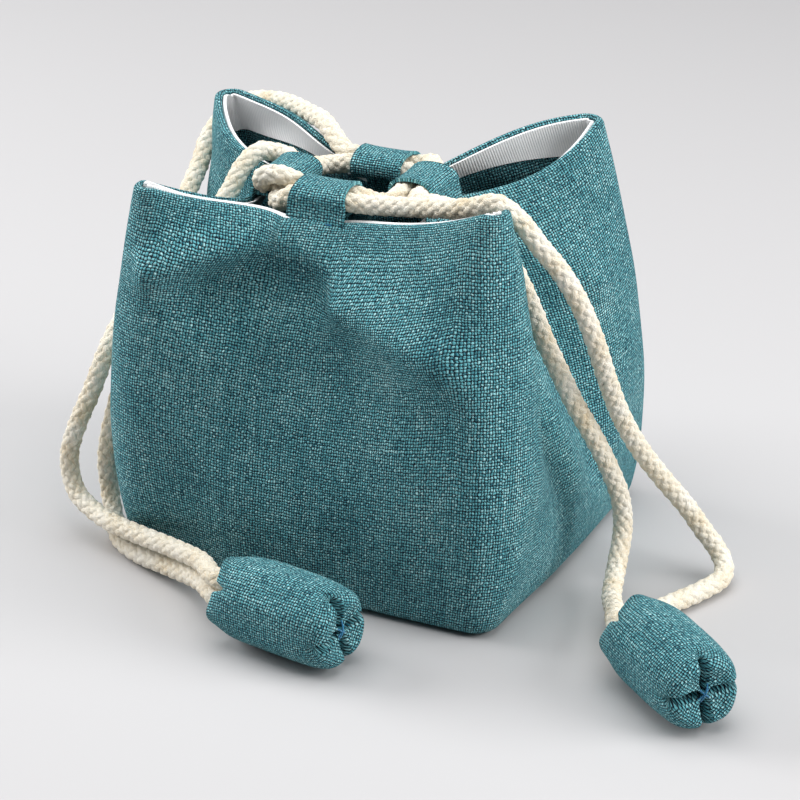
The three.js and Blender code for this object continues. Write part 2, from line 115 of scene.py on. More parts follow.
class Shader:
    """A node material that is being put together."""

    SPECULAR = 0.12
    SHEEN_ROUGHNESS = 0.6

    def __init__(self, name: str) -> None:
        """Start a material with one principled surface.

        Args:
            name: Name of the material.
        """
        self.material = bpy.data.materials.new(name)
        self.material.use_nodes = True
        self.tree = self.material.node_tree
        self.surface = self.tree.nodes["Principled BSDF"]

    def put(self, socket: NodeSocket, value: Any) -> None:
        """Link a socket to another, or set it to a number or colour.

        Args:
            socket: Input that takes the value.
            value: Output socket, number or colour.
        """
        if isinstance(value, NodeSocket):
            self.tree.links.new(value, socket)
        else:
            socket.default_value = value

    def add(self, kind: str, settings: dict | None = None, inputs: dict | None = None) -> Node:
        """Add a node.

        Args:
            kind: Type name of the node.
            settings: Properties of the node by name.
            inputs: Values of its inputs by name or number.

        Returns:
            The new node.
        """
        node = self.tree.nodes.new(kind)
        for name, value in (settings or {}).items():
            setattr(node, name, value)
        for place, value in (inputs or {}).items():
            self.put(node.inputs[place], value)
        return node

    def calc(self, operation: str, *values: Any) -> NodeSocket:
        """Work out a sum of numbers."""
        return self.add("ShaderNodeMath", {"operation": operation}, dict(enumerate(values))).outputs[0]

    def vector(self, operation: str, *values: Any) -> NodeSocket:
        """Work out a sum of vectors."""
        return self.add("ShaderNodeVectorMath", {"operation": operation}, dict(enumerate(values))).outputs[0]

    def choose(self, share: Any, first: Any, second: Any) -> NodeSocket:
        """Go from the first number to the second as share goes from 0 to 1."""
        return self.calc("MULTIPLY_ADD", share, self.calc("SUBTRACT", second, first), first)

    def mix(self, share: Any, first: Any, second: Any) -> NodeSocket:
        """Go from the first colour to the second as share goes from 0 to 1."""
        return self.add("ShaderNodeMix", {"data_type": "RGBA"}, {0: share, 6: first, 7: second}).outputs[2]

    def ramp(self, share: Any, stops: Iterable[tuple[float, Colour]]) -> NodeSocket:
        """Read a colour from a ramp.

        Args:
            share: Place on the ramp.
            stops: Places and colours, in order.

        Returns:
            The colour's socket.
        """
        node = self.add("ShaderNodeValToRGB", None, {0: share})
        elements = node.color_ramp.elements
        for number, (place, colour) in enumerate(stops):
            element = elements[number] if number < len(elements) else elements.new(place)
            element.position = place
            element.color = colour
        return node.outputs[0]

    def noise(self, places: Any, scale: float, detail: float, output: int = 0) -> NodeSocket:
        """Add soft noise and return its value, or with output 1 its colour."""
        inputs = {"Vector": places, "Scale": scale, "Detail": detail}
        return self.add("ShaderNodeTexNoise", None, inputs).outputs[output]

    def push(self, moved: Any, places: Any, reach: float, scale: float, detail: float) -> NodeSocket:
        """Move places about within a reach, by soft noise that is read at the second places."""
        offset = self.vector("SUBTRACT", self.noise(places, scale, detail, 1), (0.5, 0.5, 0.5))
        return self.vector("MULTIPLY_ADD", offset, (reach, reach, 0.0), moved)

    def combine(self, *parts: Any) -> NodeSocket:
        """Join numbers into a vector."""
        return self.add("ShaderNodeCombineXYZ", None, dict(enumerate(parts))).outputs[0]

    def weave_places(self) -> NodeSocket:
        """Read the piece's own map, in threads or millimetres."""
        return self.add("ShaderNodeUVMap", {"uv_map": UV_NAME}).outputs[0]

    def object_places(self) -> NodeSocket:
        """Read the place on the piece, in metres."""
        return self.add("ShaderNodeTexCoord").outputs["Object"]

    def bump(self, height: Any, depth: float, strength: float = 1.0) -> None:
        """Raise the surface by a height from 0 to 1, with a relief of a depth in millimetres."""
        inputs = {"Strength": strength, "Distance": depth * MM, "Height": height}
        self.put(self.surface.inputs["Normal"], self.add("ShaderNodeBump", None, inputs).outputs[0])

    def matte(self, colour: Any, roughness: float, sheen: float) -> Material:
        """Give the surface a cloth's colour, roughness and sheen.

        Args:
            colour: Colour or its socket.
            roughness: Roughness, the same all over.
            sheen: Sheen, the same all over.

        Returns:
            The finished material.
        """
        self.put(self.surface.inputs["Base Color"], colour)
        self.surface.inputs["Roughness"].default_value = roughness
        self.surface.inputs["Specular IOR Level"].default_value = self.SPECULAR
        self.surface.inputs["Sheen Weight"].default_value = sheen
        self.surface.inputs["Sheen Roughness"].default_value = self.SHEEN_ROUGHNESS
        return self.material


@dataclass(frozen=True)
class WeaveFinish:
    """Coarse plain weave of uneven yarns, on the piece's map in threads.

    The wobble and the grain are a reach in threads and the scale and detail of the noise behind it. The slub
    and the fleck are scales along a yarn and from yarn to yarn. The weights say how far the yarn's own tone,
    its slubs, its flecks and the patches of the cloth change the colour. The gap colour is painted shade: it
    fills the gaps between the yarns and darkens each yarn towards its edges. The weft floats are painted a
    little darker than the warp floats, as painted shade for the floats that catch less light.
    """

    name: str
    # painted shade between the yarns
    gap: Colour
    shade: Colour
    body: Colour
    light: Colour
    wobble: Place = (0.7, 0.22, 2.0)
    grain: Place = (0.9, 0.85, 1.0)
    warp_number: float = 211.5
    slub: Pair = (0.11, 3.7)
    fleck: Pair = (1.3, 5.1)
    patch_scale: float = 0.035
    weights: tuple[float, ...] = (0.1, 0.3, 0.5, 0.25)
    # painted shade on the weft floats, which makes them darker than the warp floats
    painted_weft_shade: float = 0.08
    tones: Place = (0.3, 0.52, 0.76)
    # pad values over which each yarn darkens into the painted shade of the gaps
    gap_shade_span: Pair = (0.34, 0.76)
    relief: float = 0.6
    slub_relief: float = 0.3
    roughness: float = 0.9
    sheen: float = 0.05

    def build(self) -> Material:
        """Make the material.

        Returns:
            The material.
        """
        cloth = Shader(self.name)
        places = cloth.weave_places()
        loose = cloth.push(cloth.push(places, places, *self.wobble), places, *self.grain)
        across, up, _ = cloth.add("ShaderNodeSeparateXYZ", None, {0: loose}).outputs
        column = cloth.calc("FLOOR", across)
        row = cloth.calc("FLOOR", up)
        warp_on_top = cloth.calc("FLOORED_MODULO", cloth.calc("ADD", column, row), 2.0)
        in_column = cloth.calc("SUBTRACT", cloth.calc("SUBTRACT", across, column), 0.5)
        in_row = cloth.calc("SUBTRACT", cloth.calc("SUBTRACT", up, row), 0.5)
        lengthwise = cloth.choose(warp_on_top, in_column, in_row)
        crosswise = cloth.choose(warp_on_top, in_row, in_column)
        crown = cloth.calc("COSINE", cloth.calc("MULTIPLY", lengthwise, math.pi))
        round_yarn = cloth.calc("COSINE", cloth.calc("MULTIPLY", crosswise, math.pi))
        pad = cloth.calc("SQRT", cloth.calc("MAXIMUM", cloth.calc("MULTIPLY", crown, round_yarn), 0.0))
        yarn = cloth.choose(warp_on_top, row, cloth.calc("ADD", column, self.warp_number))
        distance = cloth.choose(warp_on_top, across, up)
        slub_places, fleck_places = (
            cloth.combine(cloth.calc("MULTIPLY", distance, along), cloth.calc("MULTIPLY", yarn, apart), 0.0)
            for along, apart in (self.slub, self.fleck)
        )
        tone = cloth.add("ShaderNodeTexWhiteNoise", {"noise_dimensions": "1D"}, {"W": yarn}).outputs[0]
        slub = cloth.noise(slub_places, 1.0, 1.0)
        fleck = cloth.noise(fleck_places, 1.0, 0.0)
        patch = cloth.noise(places, self.patch_scale, 2.0)
        # painted shade: weft floats start darker than warp floats
        mood = cloth.calc("MULTIPLY_ADD", warp_on_top, self.painted_weft_shade, -self.painted_weft_shade)
        for part, weight in zip((tone, slub, fleck, patch), self.weights):
            mood = cloth.calc("MULTIPLY_ADD", part, weight, mood)
        yarn_colour = cloth.ramp(mood, zip(self.tones, (self.shade, self.body, self.light)))
        # painted shade: the gap colour fills the gaps and the yarns' edges
        gap_shade_mix = cloth.ramp(pad, zip(self.gap_shade_span, ((0, 0, 0, 1), (1, 1, 1, 1))))
        cloth.bump(cloth.calc("MULTIPLY_ADD", slub, self.slub_relief, pad), self.relief)
        return cloth.matte(cloth.mix(gap_shade_mix, self.gap, yarn_colour), self.roughness, self.sheen)


@dataclass(frozen=True)
class RibFinish:
    """White cloth with fine ribs across the rim, on the piece's map in millimetres."""

    name: str
    # painted shade in the grooves between the ribs
    painted_groove_shade: Colour
    body: Colour
    pitch: float = 0.7
    softness: float = 0.25
    soft_scale: float = 1.6
    tones: Pair = (0.1, 0.6)
    relief: float = 0.12
    strength: float = 0.7
    roughness: float = 0.9
    sheen: float = 0.1

    def build(self) -> Material:
        """Make the material.

        Returns:
            The material.
        """
        cloth = Shader(self.name)
        places = cloth.weave_places()
        across = cloth.add("ShaderNodeSeparateXYZ", None, {0: places}).outputs[0]
        turn = cloth.calc("MULTIPLY", across, 2 * math.pi / self.pitch)
        rib = cloth.calc("MULTIPLY_ADD", cloth.calc("COSINE", turn), 0.5, 0.5)
        height = cloth.calc("MULTIPLY_ADD", cloth.noise(places, self.soft_scale, 3.0), self.softness, rib)
        cloth.bump(height, self.relief, self.strength)
        # painted shade: the colour darkens from the body colour to the groove colour as the rib height falls
        colour = cloth.ramp(height, zip(self.tones, (self.painted_groove_shade, self.body)))
        return cloth.matte(colour, self.roughness, self.sheen)


@dataclass(frozen=True)
class YarnFinish:
    """Soft cotton yarn with fibres that run along it, on the piece's map in millimetres."""

    name: str
    shade: Colour
    body: Colour
    light: Colour
    fibre_scale: Place = (0.9, 5.0, 1.0)
    patch_scale: float = 160.0
    patch_weight: float = 0.45
    fuzz_scale: float = 2600.0
    fuzz_relief: float = 1.2
    tones: Place = (0.3, 0.5, 0.7)
    relief: float = 0.3
    roughness: float = 0.95
    sheen: float = 0.3

    def build(self) -> Material:
        """Make the material.

        Returns:
            The material.
        """
        cotton = Shader(self.name)
        fibre = cotton.noise(cotton.vector("MULTIPLY", cotton.weave_places(), self.fibre_scale), 1.0, 3.0)
        patch = cotton.noise(cotton.object_places(), self.patch_scale, 2.0)
        fuzz = cotton.noise(cotton.object_places(), self.fuzz_scale, 3.0)
        fibre_share = cotton.calc("MULTIPLY", fibre, 1 - self.patch_weight)
        mood = cotton.calc("MULTIPLY_ADD", patch, self.patch_weight, fibre_share)
        cotton.bump(cotton.calc("MULTIPLY_ADD", fuzz, self.fuzz_relief, fibre), self.relief)
        colour = cotton.ramp(mood, zip(self.tones, (self.shade, self.body, self.light)))
        return cotton.matte(colour, self.roughness, self.sheen)


@dataclass(frozen=True)
class FloorFinish:
    """Plain pale studio floor."""

    name: str
    colour: Colour
    roughness: float = 0.6
    specular: float = 0.25

    def build(self) -> Material:
        """Make the material.

        Returns:
            The material.
        """
        floor = Shader(self.name)
        floor.surface.inputs["Base Color"].default_value = self.colour
        floor.surface.inputs["Roughness"].default_value = self.roughness
        floor.surface.inputs["Specular IOR Level"].default_value = self.specular
        return floor.material


def lay_grid(bm: BMesh, points: Array, places: Array) -> list:
    """Add a grid whose vertices take the given points.

    Args:
        bm: Mesh that gains the grid.
        points: Rows by columns by three, in millimetres.
        places: Rows by columns by two, for the piece's own map.

    Returns:
        The grid's vertices, row by row.
    """
    rows, columns, _ = points.shape
    layer = bm.loops.layers.uv.get(UV_NAME) or bm.loops.layers.uv.new(UV_NAME)
    verts = bmesh.ops.create_grid(bm, x_segments=columns - 1, y_segments=rows - 1, size=0.5)["verts"]
    for vert, point, place in zip(verts, points.reshape(-1, 3) * MM, places.reshape(-1, 2)):
        vert.co = point
        for loop in vert.link_loops:
            loop[layer].uv = place
    bm.normal_update()
    return verts


def thicken(bm: BMesh, thickness: float) -> None:
    """Give a sheet its thickness, in millimetres."""
    bmesh.ops.solidify(bm, geom=bm.verts[:] + bm.edges[:] + bm.faces[:], thickness=thickness * MM)


def pair_up(across: Array, up: Array) -> Array:
    """Join two sets of places into one map of pairs."""
    return np.stack(np.broadcast_arrays(across, up), axis=-1)


def add_object(name: str, data: Any) -> Object:
    """Put an object into the scene, at the origin.

    Args:
        name: Name of the object.
        data: Its mesh, camera or lamp.

    Returns:
        The object.
    """
    made = bpy.data.objects.new(name, data)
    bpy.context.scene.collection.objects.link(made)
    return made


def make_piece(name: str, bm: BMesh, material: Material, slot: Slot) -> Object:
    """Turn a finished mesh into a piece of the pouch.

    Args:
        name: Name of the piece.
        bm: Its mesh, which is used up.
        material: Its finish.
        slot: Slot of the record that the finish belongs to; not used.

    Returns:
        The piece's object, at the origin.
    """
    mesh = bpy.data.meshes.new(name)
    bm.to_mesh(mesh)
    bm.free()
    mesh.polygons.foreach_set("use_smooth", [True] * len(mesh.polygons))
    mesh.set_sharp_from_angle(angle=SHARP_EDGE)
    mesh.materials.append(material)
    piece = add_object(name, mesh)
    LOG.info("%s: %d faces", name, len(mesh.polygons))
    return piece


def travel_along(points: Array) -> Array:
    """Distance of each point from the first, along a line of points."""
    return np.concatenate([[0.0], np.cumsum(np.linalg.norm(np.diff(points, axis=0), axis=1))])


def path_length(path: Array) -> float:
    """Length of a line of points."""
    return float(travel_along(path)[-1])


def at_distances(wanted: Array, travel: Array, values: Array) -> Array:
    """Values at the wanted distances along a line, between those at its points."""
    return np.column_stack([np.interp(wanted, travel, column) for column in values.T])


def bezier(start: Array, first: Array, second: Array, end: Array, count: int) -> Array:
    """Points along a cubic curve, with its two handles between its ends."""
    t = np.linspace(0, 1, count)[:, None]
    return start * (1 - t) ** 3 + first * 3 * t * (1 - t) ** 2 + second * 3 * t**2 * (1 - t) + end * t**3


def half_round(height: float, inset: float, radius: float, count: int) -> list[Pair]:
    """Rows over a half round edge, as heights and insets: it ends two radii further in."""
    turn = np.linspace(0, math.pi, count)
    return [(height + radius * math.sin(angle), inset + radius * (1 - math.cos(angle))) for angle in turn]


def turned(direction: Array, angle: float) -> Array:
    """Turn a plan direction counter-clockwise by an angle in radians."""
    cosine, sine = math.cos(angle), math.sin(angle)
    return np.array([[cosine, -sine], [sine, cosine]]) @ direction


@dataclass(frozen=True)
class Wall:
    """One wall: the way it faces, where its middle line stands and how its rim is drawn in."""

    name: str
    out: Pair
    along: float
    base_reach: float
    rim_reach: float
    rim_height: float
    draw: float
    outer_cord: str
    hem: float

    @property
    def facing(self) -> Array:
        """Plan direction that the wall faces."""
        return np.array(self.out, float)

    @property
    def run(self) -> Array:
        """Plan direction along the wall, counter-clockwise seen from above."""
        return np.array([-self.out[1], self.out[0]], float)

    @property
    def flap(self) -> str:
        """Body that carries the wall's middle."""
        return f"{self.name}_flap"


@dataclass(frozen=True)
class Corner:
    """One corner: its walls, foot and ear tip, and how the rim of each wall climbs and turns to the ear."""

    name: str
    walls: tuple[str, str]
    foot: Pair
    ear: Place
    rise: Pair
    hem: float
    leave: Pair = (0.0, 0.0)
    arrive: Pair = (1.0, 1.0)
    neck: Pair = (0.0, 0.0)
    still: Pair = (1.5, 1.5)


@dataclass(frozen=True)
class Fold:
    """A soft ridge, or a hollow, along a line on a wall: places are (along the run, height)."""

    wall: str
    start: Pair
    end: Pair
    width: float
    rise: float

    def lift(self, along: Array, height: Array) -> Array:
        """Outward lift of the cloth.

        Args:
            along: Places along the wall's run.
            height: Heights.

        Returns:
            The lift at each place.
        """
        line = np.subtract(self.end, self.start)
        share = ((along - self.start[0]) * line[0] + (height - self.start[1]) * line[1]) / (line @ line)
        share = np.clip(share, 0.0, 1.0)
        gap = np.hypot(along - self.start[0] - share * line[0], height - self.start[1] - share * line[1])
        return self.rise * np.exp(-((gap / self.width) ** 2))


WALLS = {
    wall.name: wall
    for wall in (
        Wall("front", (0, -1), -6, 48, 26, 96, 2.7, "right", -0.5),
        Wall("right", (1, 0), -2.5, 53.7, 20, 96, 1.9, "right", -2.4),
        Wall("back", (0, 1), 4, 48.5, 18, 94.5, 1.9, "left", -1.3),
        Wall("left", (-1, 0), 7, 53.7, 30, 94.5, 2.2, "left", -1.3),
    )
}
CORNERS = (
    Corner("front_right", ("front", "right"), (53.5, -50.5), (52.5, -41.5, 111.8), (0.3, 0.0), -0.8),
    Corner(
        "back_right", ("right", "back"), (54, 48.5), (43.3, 44, 109), (0.1, 0.9), -1.3,
        (1.4, 0.0), (0.35, 1.0), (0.0, 4.0),
    ),
    Corner(
        "back_left", ("back", "left"), (-53.5, 48.5), (-63.5, 36, 103.5), (1.0, 0.4), -1.3,
        (0.0, 1.2), (1.0, 0.5), (6.5, 2.0), (1.5, 14.0),
    ),
    Corner("front_left", ("left", "front"), (-54, -42), (-46, -47.5, 106), (0.3, 0.4), -0.2),
)
FOLDS = (
    Fold("front", (-16, 93), (-40, 86), 6.0, 5.0),
    Fold("front", (-5, 90), (10, 81), 4.5, 2.2),
    Fold("front", (10, 81), (40, 77), 6.0, 3.4),
    Fold("front", (-10, 80), (44, 75), 11.0, 3.0),
    Fold("front", (14, 62), (40, 60), 9.0, -1.8),
    Fold("front", (-27, 80), (-5, 79), 7.5, -5.6),
    Fold("right", (-24, 88), (-18, 50), 7.0, -2.2),
    Fold("right", (10, 64), (16, 26), 6.5, -3.0),
    Fold("right", (-4, 50), (0, 26), 6.0, 1.8),
    Fold("right", (6, 92), (24, 70), 6.0, 2.0),
    Fold("back", (10, 92), (26, 66), 6.0, 2.2),
    Fold("back", (-10, 92), (-28, 68), 6.0, 2.0),
    Fold("back", (-4, 74), (16, 78), 8.0, -2.8),
    Fold("left", (12, 92), (26, 66), 6.0, 2.2),
    Fold("left", (0, 92), (-18, 70), 6.0, -1.0),
    Fold("left", (-4, 76), (14, 76), 8.0, -2.8),
)


@dataclass(frozen=True)
class Half:
    """Half of a wall, from the middle of its loop to the ridge of a corner."""

    corner: Corner
    index: int

    @property
    def wall(self) -> Wall:
        """Wall that the half belongs to."""
        return WALLS[self.corner.walls[self.index]]

    @property
    def way(self) -> int:
        """1 where the half follows the wall's run, and -1 where it goes against it."""
        return 1 - 2 * self.index

    @property
    def label(self) -> str:
        """Name of the half, by its wall and its corner."""
        return f"{self.wall.name}_to_{self.corner.name}"


HALVES = tuple(Half(corner, index) for corner in CORNERS for index in (0, 1))


@dataclass(frozen=True)
class SoftForm:
    """Soft surface of the pouch, from which each cloth layer is set inwards."""

    height: float = 96.0
    strip_edge: float = 7.3
    strip_points: int = 7
    belly_swell: float = 6.0
    belly_low: float = 0.6
    ridge_swell: float = 7.0
    ridge_low: float = 0.75
    base_corner_radius: float = 6.5
    body_corner_swell: float = 10.0
    ear_radius: float = 4.5
    arc_points: int = 16
    fold_height: float = 3.0
    pull_at_loop: float = 0.24
    pull_at_ear: float = 0.5
    bend_points: int = 49
    ripple: float = 0.35
    ripple_waves: tuple[Pair, Pair] = ((0.21, 0.09), (-0.05, 0.13))
    settled_height: float = 14.0
    folds_fade_from: float = 0.8
    heel_radius: float = 3.0
    neck_depth: float = 13.0
    neck_width: float = 6.5
    neck_from: float = 0.15
    pinch_width: float = 1.6
    ridge_checks: int = 21

    def strip(self, wall: Wall, across: float, v: float) -> Array:
        """Point on a wall's middle strip.

        Args:
            wall: The wall.
            across: Place along the run from the strip's middle.
            v: Share of the height.

        Returns:
            The point.
        """
        swell = self.belly_swell * math.sin(math.pi * min(1.0, v**self.belly_low)) * max(0.0, 1 - v)
        reach = wall.base_reach + swell - (wall.base_reach - wall.rim_reach) * v**wall.draw
        plan = wall.facing * reach + wall.run * (wall.along + across)
        return np.array([*plan, wall.rim_height * v])

    def ridge(self, corner: Corner, v: float) -> Array:
        """Outermost point of a corner.

        Args:
            corner: The corner.
            v: Share of the height.

        Returns:
            The point.
        """
        side = np.sign(corner.foot)
        foot = np.array(corner.foot) - side * self.base_corner_radius * (1 - math.sqrt(0.5))
        point = np.array([*foot, 0.0]) * (1 - v) + np.array(corner.ear) * v
        swell = self.ridge_swell * math.sin(math.pi * min(1.0, v**self.ridge_low)) * math.sqrt(0.5)
        point[:2] += side * swell
        return point

    def rim_way(self, half: Half, v: float, share: float) -> Array:
        """Plan direction of a half wall on its turn from the loop to the ear.

        Args:
            half: The half wall.
            v: Share of the height.
            share: Share of the turn.

        Returns:
            The direction.
        """
        run = half.wall.run * half.way
        to_ear = (self.ridge(half.corner, 1) - self.strip(half.wall, self.strip_edge * half.way, 1))[:2]
        angle = math.atan2(run[0] * to_ear[1] - run[1] * to_ear[0], run @ to_ear)
        return turned(run, angle * share * v**self.fold_height)

    def line(self, half: Half, v: float) -> tuple[Array, Array]:
        """Section of a half wall at a share of the height, from its loop's middle to its ridge.

        Args:
            half: The half wall.
            v: Share of the height.

        Returns:
            The section's points, and the plan directions that face out of the pouch there.
        """
        ways = [self.rim_way(Half(half.corner, index), v, half.corner.arrive[index]) for index in (0, 1)]
        bisector = (ways[0] + ways[1]) / np.linalg.norm(ways[0] + ways[1])
        tip = self.ridge(half.corner, v)
        taper = self.base_corner_radius * (1 - v) + self.ear_radius * v
        radius = taper + self.body_corner_swell * math.sin(math.pi * min(1.0, v))
        arrival = ways[half.index]
        outward = np.array([arrival[1], -arrival[0]]) * half.way
        first = math.atan2(outward[1], outward[0])
        last = math.atan2(bisector[1], bisector[0])
        sweep = (last - first + math.pi) % (2 * math.pi) - math.pi
        angles = first + sweep * np.linspace(0, 1, self.arc_points)
        centre = tip[:2] - bisector * radius
        arc = np.column_stack([centre[0] + radius * np.cos(angles), centre[1] + radius * np.sin(angles)])
        arc = np.column_stack([arc, np.full(len(arc), tip[2])])
        leaving = np.array([*self.rim_way(half, v, half.corner.leave[half.index]), 0.0])
        places = half.way * np.linspace(0, self.strip_edge, self.strip_points)
        strip = [self.strip(half.wall, place, v) for place in places]
        start, end = strip[-1], arc[0]
        length = np.hypot(*(end - start)[:2])
        climb = (end[2] - start[2]) * half.corner.rise[half.index]
        near_start = start + leaving * self.pull_at_loop * length + np.array([0, 0, climb / 2])
        near_end = end - np.array([*arrival, 0.0]) * self.pull_at_ear * length
        near_end[2] = start[2] + climb
        bend = bezier(start, near_start, near_end, end, self.bend_points)
        points = np.vstack([strip[:-1], bend, arc[1:]])
        tangent = np.gradient(points[:, :2], axis=0)
        tangent /= np.linalg.norm(tangent, axis=1)[:, None]
        normals = np.column_stack([tangent[:, 1], -tangent[:, 0]]) * half.way
        normals[0] = half.wall.facing
        normals[-1] = bisector
        return points, normals

    def lift(self, half: Half, points: Array, shares: Array) -> Array:
        """Outward lift of the wall's folds, fading out at the ridge.

        Args:
            half: The half wall.
            points: Points on its section.
            shares: Shares of the way from its loop to its ridge.

        Returns:
            The lift at each point.
        """
        along = points[:, :2] @ half.wall.run
        height = points[:, 2]
        folds = [fold.lift(along, height) for fold in FOLDS if fold.wall == half.wall.name]
        first, second = (np.sin(along * run + height * rise) for run, rise in self.ripple_waves)
        off_ridge = 1 - smoothstep(self.folds_fade_from, 1.0, shares)
        off_floor = smoothstep(0.0, self.settled_height, height)
        return (sum(folds) + self.ripple * first * second) * off_ridge * off_floor

    def neck(self, half: Half, height: float, shares: Array) -> Array:
        """How far the cloth is drawn in under the rim between a loop and an ear.

        Args:
            half: The half wall.
            height: Height, as on the middle of a wall.
            shares: Shares of the way from its loop to its ridge.

        Returns:
            The inset at each share.
        """
        below_rim = (self.height - height - self.neck_depth) / self.neck_width
        along = np.clip((shares - self.neck_from) / (1 - self.neck_from), 0.0, 1.0)
        between = np.sin(math.pi * along) ** 2
        return half.corner.neck[half.index] * math.exp(-(below_rim**2)) * between

    def heel(self, height: float) -> float:
        """How far the cloth turns in towards the base near the floor."""
        short = max(0.0, self.heel_radius - height)
        return self.heel_radius - math.sqrt(self.heel_radius**2 - short**2)

    def grid(self, half: Half, rows: Iterable[Pair], columns: int, pinch: float = 0.0) -> Array:
        """Grid of points on a layer of a half wall.

        Args:
            half: The half wall.
            rows: Heights, as on the middle of a wall, and insets.
            columns: Number of columns from the loop's middle to the ridge.
            pinch: Further inset right at the ridge.

        Returns:
            Rows by columns by three.
        """
        shares = np.linspace(0, 1, columns)
        grid = []
        for height, inset in rows:
            points, normals = self.line(half, height / self.height)
            travel = travel_along(points)
            wanted = shares * travel[-1]
            line = at_distances(wanted, travel, points)
            out = at_distances(wanted, travel, normals)
            out /= np.linalg.norm(out, axis=1)[:, None]
            nip = pinch * np.exp(-(((travel[-1] - wanted) / self.pinch_width) ** 2))
            drawn = inset + self.heel(height) + nip + self.neck(half, height, shares)
            line[:, :2] += out * (self.lift(half, line, shares) - drawn)[:, None]
            grid.append(line)
        return np.array(grid)

    def still_place(self, half: Half) -> float:
        """Place along the run past which a half wall stays with the corners.

        Args:
            half: The half wall.

        Returns:
            The place.
        """
        heights = np.linspace(0, 1, self.ridge_checks)
        places = [half.way * (self.ridge(half.corner, v)[:2] @ half.wall.run) for v in heights]
        return half.way * (min(places) - half.corner.still[half.index])

    def blend(self, piece: Object, half: Half) -> None:
        """Bake a piece's place into its mesh.

        Args:
            piece: Piece with no parent.
            half: Half wall that it belongs to or lies on.
        """
        wall = half.wall
        still = wall.run * self.still_place(half) * MM
        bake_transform(piece)


